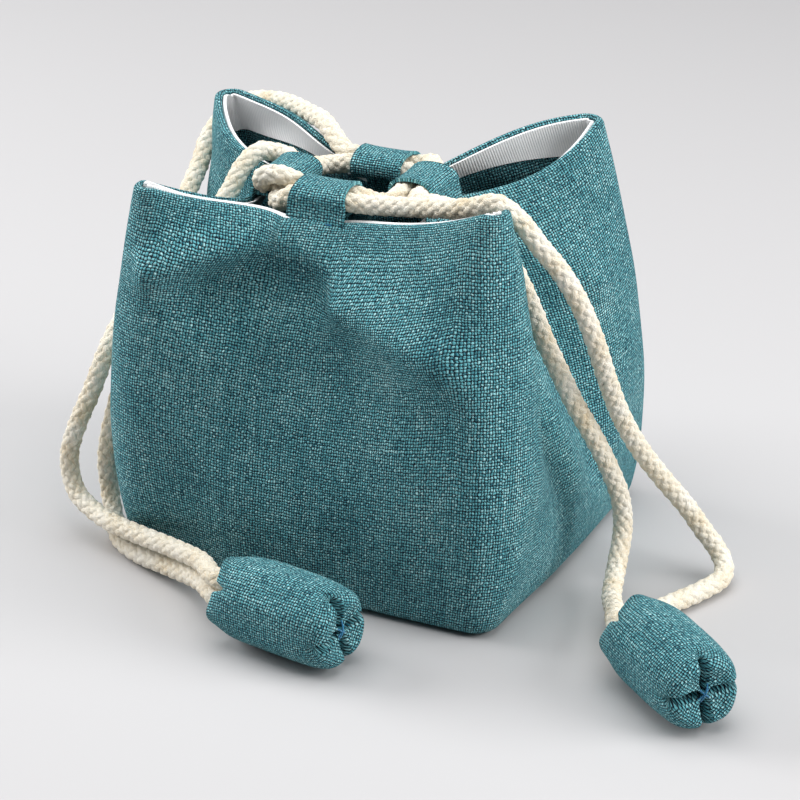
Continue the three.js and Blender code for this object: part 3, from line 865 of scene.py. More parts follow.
@dataclass(frozen=True)
class ClothWalls:
    """Outer cloth, lining and facing of the four walls."""

    form: SoftForm
    cloth: Material
    lining: Material
    facing: Material
    outer_thickness: float = 0.6
    heel_heights: tuple[float, ...] = (0.0, 0.2, 0.6, 1.2, 2.0, 3.0)
    body_low: float = 4.2
    body_rows: int = 78
    rim_radius: float = 1.05
    rim_rows: int = 13
    fold_drops: Pair = (1.0, 2.2)
    lining_inset: float = 1.5
    lining_low: float = 1.6
    lining_drop: float = 4.0
    lining_rows_up: int = 46
    lining_thickness: float = 0.8
    facing_gap: float = 0.05
    facing_lap: float = 0.7
    facing_start: float = 0.6
    facing_depth: float = 11.0
    facing_rows_inside: int = 9
    facing_share_at_loop: float = 0.5
    facing_widens: Pair = (0.3, 1.0)
    hem_radius: float = 0.5
    hem_rows: int = 11
    hem_climbs: Pair = (0.45, 0.95)
    hem_fade: float = 1.6
    ear_pinch: float = 1.3
    step: float = 1.2

    def build(self) -> None:
        """Make every layer of every half wall."""
        for half in HALVES:
            self.sheet(half, "outer", self.outer_rows(), self.outer_thickness, self.cloth, Slot.CLOTH)
            self.sheet(half, "lining", self.lining_rows(), self.lining_thickness, self.lining, Slot.LINING)
            self.sheet(half, "facing", self.facing_rows(), 0.0, self.facing, Slot.FACING)

    def outer_rows(self) -> list[Pair]:
        """Rows of the outer cloth, from its turned-in heel over the rolled rim to its inner fold.

        Returns:
            Heights and insets.
        """
        top = self.form.height - self.rim_radius
        body = np.linspace(self.body_low, top - self.fold_drops[0], self.body_rows)
        side = [(height, 0.0) for height in (*self.heel_heights, *body)]
        fold = [(top - drop, self.rim_radius * 2) for drop in self.fold_drops]
        return side + half_round(top, 0.0, self.rim_radius, self.rim_rows) + fold

    def lining_rows(self) -> list[Pair]:
        """Rows of the lining, from the base to behind the facing."""
        heights = np.linspace(self.lining_low, self.form.height - self.lining_drop, self.lining_rows_up)
        return [(height, self.lining_inset) for height in heights]

    def facing_rows(self) -> list[Pair]:
        """Rows of the facing: over the rim as a round hem, then down inside.

        Returns:
            Heights and insets.
        """
        rim = self.form.height
        outside = self.rim_radius * 2 + self.facing_gap
        inside = outside + self.hem_radius * 2
        hem = half_round(rim, outside, self.hem_radius, self.hem_rows)
        depths = np.linspace(self.facing_start, self.facing_depth, self.facing_rows_inside)
        return [(rim - self.facing_lap, outside)] + hem + [(rim - depth, inside) for depth in depths]

    def hem_heights(self, half: Half, shares: Array) -> Array:
        """Height of the facing's hem over the rim, at shares of the way from a loop to a ridge."""
        return half.wall.hem + (half.corner.hem - half.wall.hem) * smoothstep(*self.hem_climbs, shares)

    def taper(self, points: Array, shares: Array) -> None:
        """Draw the facing's lower edge up towards a loop, along the rows that it has.

        Args:
            points: Rows by columns of the facing, changed in place.
            shares: Shares of the way from its loop to its ridge.
        """
        last = self.facing_rows_inside - 1
        inside = points[-self.facing_rows_inside :].copy()
        least = self.facing_share_at_loop
        kept = least + (1 - least) * smoothstep(*self.facing_widens, shares)
        row = np.arange(last + 1)[:, None] * kept[None, :]
        low = np.minimum(row.astype(int), last - 1)
        column = np.arange(len(shares))[None, :]
        part = (row - low)[:, :, None]
        points[-self.facing_rows_inside :] = inside[low, column] * (1 - part) + inside[low + 1, column] * part

    def sheet(
        self,
        half: Half,
        layer: str,
        rows: list[Pair],
        thickness: float,
        material: Material,
        slot: Slot,
    ) -> None:
        """Make one layer of a half wall.

        Args:
            half: The half wall.
            layer: Name of the layer.
            rows: Heights and insets of its rows.
            thickness: Its thickness.
            material: Its finish.
            slot: Slot of the finish.
        """
        length = path_length(self.form.line(half, 0.5)[0])
        shares = np.linspace(0, 1, int(length / self.step) + 1)
        is_facing = slot is Slot.FACING
        points = self.form.grid(half, rows, len(shares), self.ear_pinch if is_facing else 0.0)
        if is_facing:
            fade = np.clip(np.linspace(self.hem_fade, 0.0, len(rows)), 0.0, 1.0)
            points[:, :, 2] += fade[:, None] * self.hem_heights(half, shares)
            self.taper(points, shares)
        run = shares * half.way * self.threads(length)
        climb = travel_along(points[:, 0]) / THREAD_PITCH
        unit = THREAD_PITCH if is_facing else 1.0
        bm = bmesh.new()
        lay_grid(bm, points, pair_up(run[None, :], climb[:, None]) * unit)
        if half.way < 0:
            bmesh.ops.reverse_faces(bm, faces=bm.faces[:])
        if thickness:
            thicken(bm, thickness)
        piece = make_piece(f"{layer}_{half.label}", bm, material, slot)
        self.form.blend(piece, half)
        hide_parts(f"{layer}_corner_{half.corner.name}", f"{layer}_middle_{half.wall.name}")

    def threads(self, length: float) -> int:
        """Even number of threads across a length, so that the weave meets at the ridge."""
        return 2 * round(length / THREAD_PITCH / 2)


@dataclass(frozen=True)
class Panel:
    """Sizes of a flat layer inside the walls, whose outline is the walls' at one height, set inwards."""

    node: str
    outline_height: float
    inset: float
    bottom: float
    thickness: float


@dataclass(frozen=True)
class Base:
    """Base panel and its lining."""

    form: SoftForm
    cloth: Material
    lining: Material
    outer: Panel = Panel("base_panel", 0.0, 3.1, 0.0, 1.2)
    inner: Panel = Panel("base_lining", 1.6, 2.4, 1.5, 0.8)
    side_points: int = 30
    rings: int = 12
    merge_gap: float = 0.02

    def build(self) -> None:
        """Make both layers."""
        self.lay(self.outer, self.cloth, Slot.CLOTH)
        self.lay(self.inner, self.lining, Slot.LINING)

    def lay(self, panel: Panel, material: Material, slot: Slot) -> None:
        """Make one layer.

        Args:
            panel: Its sizes.
            material: Its finish.
            slot: Slot of the finish.
        """
        row = (panel.outline_height, panel.inset - self.form.heel(panel.outline_height))
        sides = []
        for half in HALVES:
            line = self.form.grid(half, [row], self.side_points)[0]
            sides.append(line[:-1] if half.way > 0 else line[::-1][:-1])
        outline = np.vstack([*sides, sides[0][:1]])
        grid = outline[None, :, :] * np.linspace(1.0, 0.0, self.rings)[:, None, None]
        grid[:, :, 2] = panel.bottom + panel.thickness
        bm = bmesh.new()
        lay_grid(bm, grid, grid[:, :, :2] / THREAD_PITCH)
        bmesh.ops.remove_doubles(bm, verts=bm.verts[:], dist=self.merge_gap * MM)
        thicken(bm, panel.thickness)
        piece = make_piece(f"{panel.node}_cloth", bm, material, slot)
        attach(piece, ROOT_BODY)
        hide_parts(panel.node)


@dataclass(frozen=True)
class LoopPlace:
    """Where a loop stands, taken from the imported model."""

    wall: Wall

    @property
    def node(self) -> str:
        """CAD node of the loop."""
        return f"loop_{self.wall.name}"

    @property
    def box(self) -> Array:
        """Lowest and highest corner of the loop."""
        return np.array(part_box(self.node)) / MM

    @property
    def centre(self) -> Array:
        """Middle of the loop."""
        return self.box.mean(axis=0)

    @property
    def width(self) -> float:
        """Length of the loop along the wall."""
        return float(abs(np.ptp(self.box, axis=0)[:2] @ self.wall.run))

    @property
    def half_reach(self) -> float:
        """Half of the loop's size across the wall."""
        return float(abs(np.ptp(self.box, axis=0)[:2] @ self.wall.facing)) / 2

    @property
    def half_height(self) -> float:
        """Half of the loop's height."""
        return float(np.ptp(self.box, axis=0)[2]) / 2

    def point(self, reach: float, place: float, rise: float) -> Array:
        """Point at distances from the loop's middle: out of the pouch, along the wall and up."""
        plan = self.wall.facing * reach + self.wall.run * place
        return self.centre + np.array([*plan, rise])


@dataclass(frozen=True)
class Loops:
    """Cloth straps that rise from the rim, go round the cords and end under them, with their stitches."""

    form: SoftForm
    cloth: Material
    thread: Material
    thickness: float = 0.9
    stations: int = 22
    foot_depth: float = 3.2
    foot_top: float = 0.6
    foot_points: int = 6
    foot_gap: float = 0.4
    foot_flare: float = 0.14
    flare_end: int = 22
    turn: Pair = (-8, 285)
    turn_points: int = 56
    outer_squareness: float = 2.1
    inner_squareness: float = 2.4
    swell: float = 0.1
    edge_opens: Place = (0.15, 0.2, 0.35)
    tail: tuple[Pair, Pair] = ((4.2, 0.05), (5.8, 0.1))
    leg_depth: float = 12.0
    leg_rise: float = 0.4
    leg_points: int = 10
    leg_inset: float = 4.6
    stitch_drop: float = 1.0
    stitch_length: float = 2.1
    stitch_pitch: float = 2.6
    stitch_margin: float = 1.2
    stitch_lift: float = 0.12
    stitch_dip: float = 0.4
    stitch_points: int = 7
    stitch_radius: float = 0.2
    stitch_sides: int = 8

    def build(self) -> None:
        """Make the four loops."""
        for wall in WALLS.values():
            place = LoopPlace(wall)
            self.band(place)
            self.stitches(place)

    def section(self, place: LoopPlace, edge: float) -> Array:
        """Section of a loop's strap, from its foot on the wall to its end under the cords.

        Args:
            place: The loop.
            edge: 0 at the strap's middle and 1 at its cut edges, where it opens a little.

        Returns:
            Reach and rise of each point from the loop's middle.
        """
        foot_opens, reach_opens, rise_opens = (opening * edge for opening in self.edge_opens)
        wall, centre = place.wall, place.centre
        foot = []
        for depth in np.linspace(self.foot_depth, self.foot_top, self.foot_points):
            point = self.form.strip(wall, 0.0, 1 - depth / wall.rim_height) - centre
            foot.append((point[:2] @ wall.facing + self.foot_gap + foot_opens, point[2]))
        angle = np.radians(np.linspace(*self.turn, self.turn_points))
        cosine, sine = np.cos(angle), np.sin(angle)
        power = 2 / np.where(cosine > 0, self.outer_squareness, self.inner_squareness)
        reach = (place.half_reach + self.swell + reach_opens) * np.sign(cosine) * np.abs(cosine) ** power
        rise = (place.half_height + rise_opens) * np.sign(sine) * np.abs(sine) ** power
        tail = [(reach_in, rise[-1] + lift) for reach_in, lift in self.tail]
        return np.vstack([foot, np.column_stack([reach, rise]), tail])

    def band(self, place: LoopPlace) -> None:
        """Make a loop's strap.

        Args:
            place: The loop.
        """
        stations = np.linspace(-1, 1, self.stations)
        flare_at, flares = (0, self.foot_points, self.flare_end), (self.foot_flare, self.foot_flare, 0.0)
        grid = []
        for station in stations:
            section = self.section(place, abs(station) ** 3)
            flare = np.interp(np.arange(len(section)), flare_at, flares)
            along = station * place.width / 2 * (1 + flare)
            grid.append([place.point(reach, spot, rise) for (reach, rise), spot in zip(section, along)])
        points = np.array(grid)
        across = stations * place.width / 2
        bm = bmesh.new()
        lay_grid(bm, points, pair_up(across[:, None], travel_along(points[0])[None, :]) / THREAD_PITCH)
        middle = Vector(place.centre * MM)
        if sum(face.normal.dot(face.calc_center_median() - middle) for face in bm.faces) < 0:
            bmesh.ops.reverse_faces(bm, faces=bm.faces[:])
        self.leg(bm, place)
        thicken(bm, self.thickness)
        piece = make_piece(f"{place.node}_strap", bm, self.cloth, Slot.CLOTH)
        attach(piece, place.wall.flap)
        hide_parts(place.node)

    def leg(self, bm: BMesh, place: LoopPlace) -> None:
        """Add the strap's inner leg, which is sewn down inside the rim over the facing.

        Args:
            bm: Mesh of the strap, which gains the leg.
            place: The loop.
        """
        wall = place.wall
        stations = np.linspace(-1, 1, self.stations) * place.width / 2
        depths = np.linspace(self.leg_depth, -self.leg_rise, self.leg_points)
        inwards = np.array([*wall.facing * -self.leg_inset, 0.0])
        points = np.array([
            [self.form.strip(wall, spot, 1 - depth / wall.rim_height) + inwards for depth in depths]
            for spot in stations
        ])
        before = set(bm.faces)
        lay_grid(bm, points, pair_up(stations[:, None], depths[None, :]) / THREAD_PITCH)
        added = [face for face in bm.faces if face not in before]
        if sum(face.normal.dot(Vector((*wall.facing, 0.0))) for face in added) > 0:
            bmesh.ops.reverse_faces(bm, faces=added)

    def stitches(self, place: LoopPlace) -> None:
        """Sew a row of stitches across the foot of a loop.

        Args:
            place: The loop.
        """
        bm = bmesh.new()
        section = self.section(place, 0.0)
        below_loop = section[: self.foot_points + 2, 1] + place.half_height + self.stitch_drop
        reach, rise = section[np.argmin(np.abs(below_loop))]
        steps = np.linspace(-1, 1, self.stitch_points)
        reaches = reach + self.stitch_lift - self.stitch_dip * steps**4
        count = int((place.width - self.stitch_margin) / self.stitch_pitch)
        for number in range(count):
            spots = (number - (count - 1) / 2) * self.stitch_pitch + steps * self.stitch_length / 2
            path = [place.point(out, spot, rise) for out, spot in zip(reaches, spots)]
            tube(bm, np.array(path), self.stitch_radius, self.stitch_sides)
        piece = make_piece(f"{place.node}_stitches", bm, self.thread, Slot.CLOTH)
        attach(piece, place.wall.flap)


def frames(path: Array) -> tuple[Array, Array, Array]:
    """Directions along a path that turn as little as they can.

    Args:
        path: Points of the path.

    Returns:
        Tangents, normals and binormals at the points.
    """
    tangents = np.gradient(path, axis=0)
    tangents /= np.linalg.norm(tangents, axis=1)[:, None]
    guide = np.array([0.0, 0.0, 1.0]) if abs(tangents[0][2]) < 0.9 else np.array([1.0, 0.0, 0.0])
    normals = []
    normal = guide
    for tangent in tangents:
        normal = normal - tangent * (normal @ tangent)
        normal = normal / np.linalg.norm(normal)
        normals.append(normal)
    return tangents, np.array(normals), np.cross(tangents, np.array(normals))


def tube(bm: BMesh, path: Array, radius: float, sides: int) -> None:
    """Add a round thread along a path, closed at both ends.

    Args:
        bm: Mesh that gains the thread.
        path: Points of the thread's middle.
        radius: Its radius.
        sides: Number of sides.
    """
    _, normals, binormals = frames(path)
    angle = np.linspace(0, 2 * math.pi, sides + 1)
    ring = normals[:, None] * np.cos(angle)[None, :, None] + binormals[:, None] * np.sin(angle)[None, :, None]
    places = pair_up(travel_along(path)[:, None], (angle * radius)[None, :])
    close_tube(bm, lay_grid(bm, path[:, None] + ring * radius, places))


def close_tube(bm: BMesh, verts: list) -> None:
    """Close a rolled-up grid along its seam and at its ends.

    Args:
        bm: Mesh that holds the grid.
        verts: Vertices of the grid.
    """
    faces = list({face for vert in verts for face in vert.link_faces})
    bmesh.ops.remove_doubles(bm, verts=verts, dist=0.001 * MM)
    edges = list({edge for face in faces for edge in face.edges if edge.is_boundary})
    filled = bmesh.ops.holes_fill(bm, edges=edges, sides=0)["faces"]
    bmesh.ops.recalc_face_normals(bm, faces=faces + filled)


def smooth_path(points: Sequence[Sequence[float]], step: float, stops: int = 12) -> Array:
    """Evenly spaced points on a smooth curve through the given points.

    Args:
        points: Points that the curve passes through.
        step: Wanted distance between the new points.
        stops: Points that are worked out between two given ones.

    Returns:
        The new points.
    """
    given = np.array(points, float)
    given = np.vstack([2 * given[0] - given[1], given, 2 * given[-1] - given[-2]])
    pieces = []
    for corners in zip(given, given[1:], given[2:], given[3:]):
        p0, p1, p2, p3 = corners
        gaps = np.linalg.norm(np.diff(corners, axis=0), axis=1)
        _, k1, k2, k3 = np.cumsum([0.0, *np.sqrt(np.maximum(gaps, 1e-6))])
        t = np.linspace(k1, k2, stops, endpoint=False)[:, None]
        a1 = ((k1 - t) * p0 + t * p1) / k1
        a2 = ((k2 - t) * p1 + (t - k1) * p2) / (k2 - k1)
        a3 = ((k3 - t) * p2 + (t - k2) * p3) / (k3 - k2)
        b1 = ((k2 - t) * a1 + t * a2) / k2
        b2 = ((k3 - t) * a2 + (t - k1) * a3) / (k3 - k1)
        pieces.append(((k2 - t) * b1 + (t - k1) * b2) / (k2 - k1))
    return even_path(np.vstack(pieces + [given[-2][None]]), step)


def even_path(points: Array, step: float) -> Array:
    """Points at even distances along a line of points.

    Args:
        points: Points of the line.
        step: Wanted distance between the new points.

    Returns:
        The new points.
    """
    travel = travel_along(points)
    wanted = np.linspace(0, travel[-1], max(2, round(travel[-1] / step)) + 1)
    return at_distances(wanted, travel, points)


@dataclass(frozen=True)
class Braid:
    """Round cotton braid of yarns that cross over and under each other."""

    diameter: float = 5.2
    lay: float = 24.0
    pairs: int = 6
    yarn_width: float = 0.98
    yarn_height: float = 0.72
    wave: float = 0.27
    sides: int = 8
    step: float = 0.7

    def add(self, bm: BMesh, path: Array, offset: float = 0.0) -> None:
        """Add the braid along a path.

        Args:
            bm: Mesh that gains the braid.
            path: Evenly spaced points of the cord's middle.
            offset: Length of the same cord before the path's start.
        """
        tangents, normals, binormals = frames(path)
        travel = travel_along(path) + offset
        turn = 2 * math.pi * travel / self.lay
        middle = self.diameter / 2 - self.yarn_height - self.wave * 0.5
        slope = math.atan(2 * math.pi * middle / self.lay)
        around = np.linspace(0, 2 * math.pi, self.sides + 1)
        for way in (1, -1):
            for number in range(self.pairs):
                angle = way * turn + 2 * math.pi * number / self.pairs
                radius = middle + way * self.wave * np.cos(self.pairs * turn)
                radial = normals * np.cos(angle)[:, None] + binormals * np.sin(angle)[:, None]
                sideways = binormals * np.cos(angle)[:, None] - normals * np.sin(angle)[:, None]
                wide = sideways * math.cos(slope) - tangents * way * math.sin(slope)
                centre = path + radial * radius[:, None]
                high = radial[:, None] * (self.yarn_height * np.sin(around))[None, :, None]
                broad = wide[:, None] * (self.yarn_width * np.cos(around))[None, :, None]
                points = centre[:, None] + high + broad
                places = pair_up(travel[:, None], around[None, :] + number)
                close_tube(bm, lay_grid(bm, points, places))


@dataclass(frozen=True)
class BudEnd:
    """One end of a bud, folded in along a cross of creases with full lobes between them.

    The face is a span and the edge a middle, in shares of the half turn along the profile.
    """

    way: int
    cross_turn: float
    face: Pair
    edge: float
    edge_width: float
    crease_depth: float
    lobe_reach: float
    notch: float
    lobe_swell: float
    lobe_power: int


def profile_ease(span: Pair, along: Array) -> Array:
    """Ease from 0 to 1 over a span of a bud's profile, in shares of its half turn."""
    return smoothstep(span[0] * math.pi, span[1] * math.pi, along)


@dataclass(frozen=True)
class Bud:
    """Stuffed cloth bud on a pair of cord ends, lying on the floor."""

    name: str
    neck: Pair
    heading: float
    crease_turn: float
    length: float = 38.5
    radius: float = 11.0
    boxiness: float = 4.4
    fill: float = 0.8
    floor_gap: float = 0.2
    columns: int = 144
    rows: int = 84
    far_end: BudEnd = BudEnd(
        way=1, cross_turn=0.0, face=(0.68, 0.83), edge=0.74, edge_width=0.3,
        crease_depth=6.0, lobe_reach=0.5, notch=0.16, lobe_swell=0.2, lobe_power=1,
    )
    near_end: BudEnd = BudEnd(
        way=-1, cross_turn=0.5, face=(0.31, 0.15), edge=0.26, edge_width=0.28,
        crease_depth=3.8, lobe_reach=1.5, notch=0.2, lobe_swell=1.2, lobe_power=3,
    )
    crease_width: float = 0.85
    crease_change: float = 0.25
    crease_rhythm: float = 2.1
    crease_radius: float = 2.5
    lobe_fullness: float = 0.03
    dimple: float = 2.0
    dimple_span: Pair = (0.84, 1.0)
    pucker: float = 0.2
    pucker_waves: Pair = (7, 3.0)
    pucker_turn: float = 1.3
    flat_ends: tuple[Pair, Pair] = ((0.62, 0.78), (0.36, 0.22))
    mouth: float = 0.16
    lip_rows: int = 8
    lip_depth: float = 5.5
    lip_curve: float = 1.3
    lip_draw: float = 0.42
    stitches: tuple[Place, ...] = ((40, 3.4, 0.0), (62, 2.6, 0.35), (132, 3.0, 0.2))
    stitch_bow: float = 1.1
    stitch_points: int = 13
    stitch_radius: float = 0.24
    stitch_sides: int = 8

    @property
    def body(self) -> str:
        """Body that carries the bud."""
        return f"{self.name}_bud"

    def point(self, x: Any, y: Any, z: Any) -> Array:
        """Point in the bud's own frame.

        Args:
            x: Distance from its neck towards its far end.
            y: Distance to its side.
            z: Height over its middle.

        Returns:
            The point, or an array of points.
        """
        angle = math.radians(self.heading)
        across = self.neck[0] + x * math.cos(angle) - y * math.sin(angle)
        away = self.neck[1] + x * math.sin(angle) + y * math.cos(angle)
        return np.stack(np.broadcast_arrays(across, away, self.radius + self.floor_gap + z), axis=-1)

    def build(self, cloth: Material, thread: Material) -> Object:
        """Make the bud and the thread that gathers its far end.

        Args:
            cloth: Finish of the cloth.
            thread: Finish of the thread.

        Returns:
            The bud's cloth.
        """
        around = np.linspace(0, 2 * math.pi, self.columns + 1)[None, :]
        along = np.linspace(self.mouth * math.pi, math.pi, self.rows)[:, None]
        x, radius = self.skin(along, around)
        lip = np.linspace(1, 0, self.lip_rows)[:-1, None]
        x = np.concatenate([x[:1] + self.lip_depth * lip**self.lip_curve, x])
        radius = np.concatenate([radius[:1] * (1 - self.lip_draw * lip), radius])
        along = np.concatenate([np.full_like(lip, along[0, 0]), along])
        points = self.point(x, radius * np.cos(around), radius * np.sin(around))
        bm = bmesh.new()
        close_tube(bm, lay_grid(bm, points, self.cloth_places(along, around, x, radius)))
        piece = make_piece(f"bud_{self.name}", bm, cloth, Slot.CLOTH)
        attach(piece, self.body)
        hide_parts(f"bud_cover_{self.name}", f"bud_filling_{self.name}")
        self.tie(thread)
        return piece

    def quarters(self, around: Array, offset: float) -> Array:
        """Angles round the bud in quarter turns from a crease of the cross that is turned by the offset."""
        return (around - math.radians(self.crease_turn)) / (math.pi / 2) - offset

    def cloth_places(self, along: Array, around: Array, x: Array, radius: Array) -> Array:
        """Lay the weave straight along the bud's side and straight on each lobe of its ends.

        Args:
            along: Angles along the profile.
            around: Angles round the bud.
            x: Place along the bud of each point.
            radius: Radius of each point.

        Returns:
            Rows by columns by two, in threads.
        """
        spot = self.quarters(around, 0.0)
        from_lobe = (spot - np.floor(spot) - 0.5) * math.pi / 2
        on_end = sum(profile_ease(span, along) for span in self.flat_ends)
        lobe_column = int(np.argmin(np.abs(from_lobe[0])))
        climb = travel_along(np.column_stack([x[:, lobe_column], radius[:, lobe_column]]))[:, None]
        side = (1 - on_end) * self.radius * from_lobe + on_end * radius * np.sin(from_lobe)
        across = self.radius * (around - from_lobe) + side
        up = climb + on_end * radius * (1 - np.cos(from_lobe)) * np.where(along > math.pi / 2, 1, -1)
        return pair_up(across, up) / THREAD_PITCH

    def skin(self, along: Array, around: Array) -> tuple[Array, Array]:
        """Stuffed skin of the bud: a barrel with flat ends, each folded in along a cross.

        Args:
            along: Angles along the profile, from the neck's side to the far end.
            around: Angles round the bud.

        Returns:
            Place along the bud and radius at each point.
        """
        power = 2 / self.boxiness
        cosine = np.cos(along)
        x = self.length / 2 * (1 - np.sign(cosine) * np.abs(cosine) ** power)
        x = x - self.dimple * profile_ease(self.dimple_span, along)
        smooth = self.radius * np.maximum(np.sin(along), 0) ** power
        full = 1 + self.lobe_fullness * (self.creases(around, smooth, self.far_end)[1] - 0.5)
        notch = 0.0
        swell = 0.0
        for end in (self.far_end, self.near_end):
            crease, lobe = self.creases(around, smooth, end)
            face = profile_ease(end.face, along)
            edge = np.exp(-(((along - end.edge * math.pi) / end.edge_width) ** 2))
            x = x + end.way * (end.lobe_reach * lobe * edge - end.crease_depth * crease * face)
            notch = notch + end.notch * crease * edge
            swell = swell + end.lobe_swell * lobe**end.lobe_power * edge
        waves = np.sin(self.pucker_waves[0] * around + self.pucker_turn)
        pucker = self.pucker * waves * np.sin(self.pucker_waves[1] * along) ** 2
        return x, smooth * (1 - notch) * full + swell + pucker * np.sin(along)

    def creases(self, around: Array, radius: Array, end: BudEnd) -> tuple[Array, Array]:
        """Cross of creases at one end.

        Args:
            around: Angles round the bud.
            radius: Radius of the smooth skin.
            end: The end.

        Returns:
            Depth of the creases, about 1 along each, and the fullness of the lobes between them.
        """
        spot = self.quarters(around, end.cross_turn)
        off_crease = (spot - np.round(spot)) * math.pi / 2
        depth = 1 + self.crease_change * np.sin(self.crease_rhythm * np.round(spot) + self.heading)
        off_line = off_crease * np.maximum(radius, self.crease_radius) / self.crease_width
        return np.exp(-(off_line**2)) * depth, np.sin(2 * off_crease) ** 2

    def tie(self, thread: Material) -> None:
        """Draw the lobes of the far end together with a few stitches of thread.

        Args:
            thread: Finish of the thread.
        """
        bm = bmesh.new()
        share = np.linspace(-1, 1, self.stitch_points)
        for turn, reach, lift in self.stitches:
            angle = math.radians(self.crease_turn + turn)
            x = self.length - self.dimple + lift - self.stitch_bow * share**2
            path = self.point(x, reach * share * math.cos(angle), reach * share * math.sin(angle))
            tube(bm, path, self.stitch_radius, self.stitch_sides)
        piece = make_piece(f"bud_{self.name}_thread", bm, thread, Slot.CLOTH)
        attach(piece, self.body)


@dataclass(frozen=True)
class Strand:
    """Free stretch of a cord, from the loop that it leaves to its bud, as routed on the solids."""

    name: str
    cord: str
    half: Half
    exit_way: int
    bud: str
    seat: Pair
    parting: int
    route: tuple[Place, ...]
    upright: Pair | None = None


STRANDS = (
    Strand(
        "right_cord_back_strand", "right", HALVES[1], -1, "right", (-2.7, 0), 15,
        (
            (16.35, -12.6, 100.7), (20, -16.6, 101.6), (26.8, -19, 102.3), (33.5, -20.8, 101.5),
            (40, -22.3, 98.2), (45.7, -23, 93.2), (49.8, -23.5, 87), (52.7, -22.5, 80), (55.5, -21.3, 72),
            (59, -19.8, 63.5), (62.5, -17.3, 54), (66, -13, 44), (69, -9, 34), (71.3, -6.5, 25),
            (72.3, -6.5, 16.5), (73.7, -14, 8.6), (77.2, -26, 6.6), (82.6, -37.2, 8.6),
        ),
        (9, 62),
    ),
    Strand(
        "right_cord_front_strand", "right", HALVES[0], 1, "right", (2.7, 0), 11,
        (
            (6.5, -21.9, 100.6), (13.5, -22.3, 101.4), (22, -24, 103), (30, -26.2, 104.8), (38, -28.3, 107),
            (45.5, -29.4, 109.6), (52.2, -31.2, 107.2), (58, -31.2, 101), (63, -29, 94), (67.3, -26.5, 85),
            (70.3, -24.6, 76), (71.3, -18.3, 63.4), (72.6, -11, 50.3), (75.6, -5.2, 39.4),
            (79.9, 0.9, 29.1), (85, 6.5, 19.3), (89.2, 9, 11.8), (92.4, 9.6, 7.6), (95.2, 7.6, 4.7),
            (96.9, 2.6, 3.2), (94.6, -6, 2.8), (90.8, -15.5, 3), (88.4, -26.5, 4.6), (88.6, -37, 8),
        ),
    ),
    Strand(
        "left_cord_back_strand", "left", HALVES[4], 1, "left", (0, 2.7), 12,
        (
            (-16.5, 14.2, 99.6), (-22, 18.3, 101.6), (-28, 24.3, 102.8), (-36, 31.2, 101.9),
            (-44.5, 37.2, 101.3), (-53, 42.8, 99.4), (-61.5, 45.5, 97), (-68, 43, 92.5), (-69.5, 36, 88),
            (-68, 28, 83.5), (-66.5, 18, 79), (-65, 6, 73), (-64.5, -6, 66.5), (-65.5, -17, 59.5),
            (-66.8, -28, 50.5), (-69.5, -32.7, 39.5), (-72.6, -35.9, 30), (-74.6, -36.8, 22.5),
            (-74.4, -37.2, 16.2), (-71.4, -39, 11.4), (-65, -42, 9.1), (-57, -46.4, 9), (-46.2, -51, 9.7),
            (-32.6, -57, 11.2), (-20.9, -63.8, 12.9),
        ),
    ),
    Strand(
        "left_cord_front_strand", "left", HALVES[5], -1, "left", (0, -2.7), 13,
        (
            (-26.9, 3.2, 98.9), (-29.6, 6, 98.8), (-33.4, 6.7, 99), (-37.2, 4.6, 99.6), (-40, 0.4, 96.6),
            (-41.4, -5.2, 91), (-45.2, -14.8, 81.6), (-49.2, -18.4, 74), (-54, -21.6, 65),
            (-58.4, -24.6, 55), (-62, -27, 44.5), (-64.4, -28.8, 34.5), (-66.2, -30.2, 25.5),
            (-67.2, -30.2, 17.5), (-66.8, -30, 11), (-65, -32, 6.2), (-61.6, -36.4, 3.4),
            (-56.2, -43.2, 2.7), (-47.9, -48.8, 2.9), (-35, -55, 4.4), (-20.8, -64.1, 7.3),
        ),
        (30, 78),
    ),
)


@dataclass(frozen=True)
class Span:
    """Drawn stretch of a cord between the loops of two neighbouring walls."""

    cord: str
    walls: tuple[str, str]
    sag: float

    @property
    def node(self) -> str:
        """CAD node of the stretch."""
        return f"{self.cord}_cord_{self.walls[0]}_to_{self.walls[1]}"


SPANS = (
    Span("right", ("right", "back"), 6.4),
    Span("right", ("back", "left"), 1.5),
    Span("right", ("left", "front"), 3.8),
    Span("left", ("front", "right"), 1.5),
    Span("left", ("right", "back"), -1.6),
    Span("left", ("left", "front"), -4.6),
)


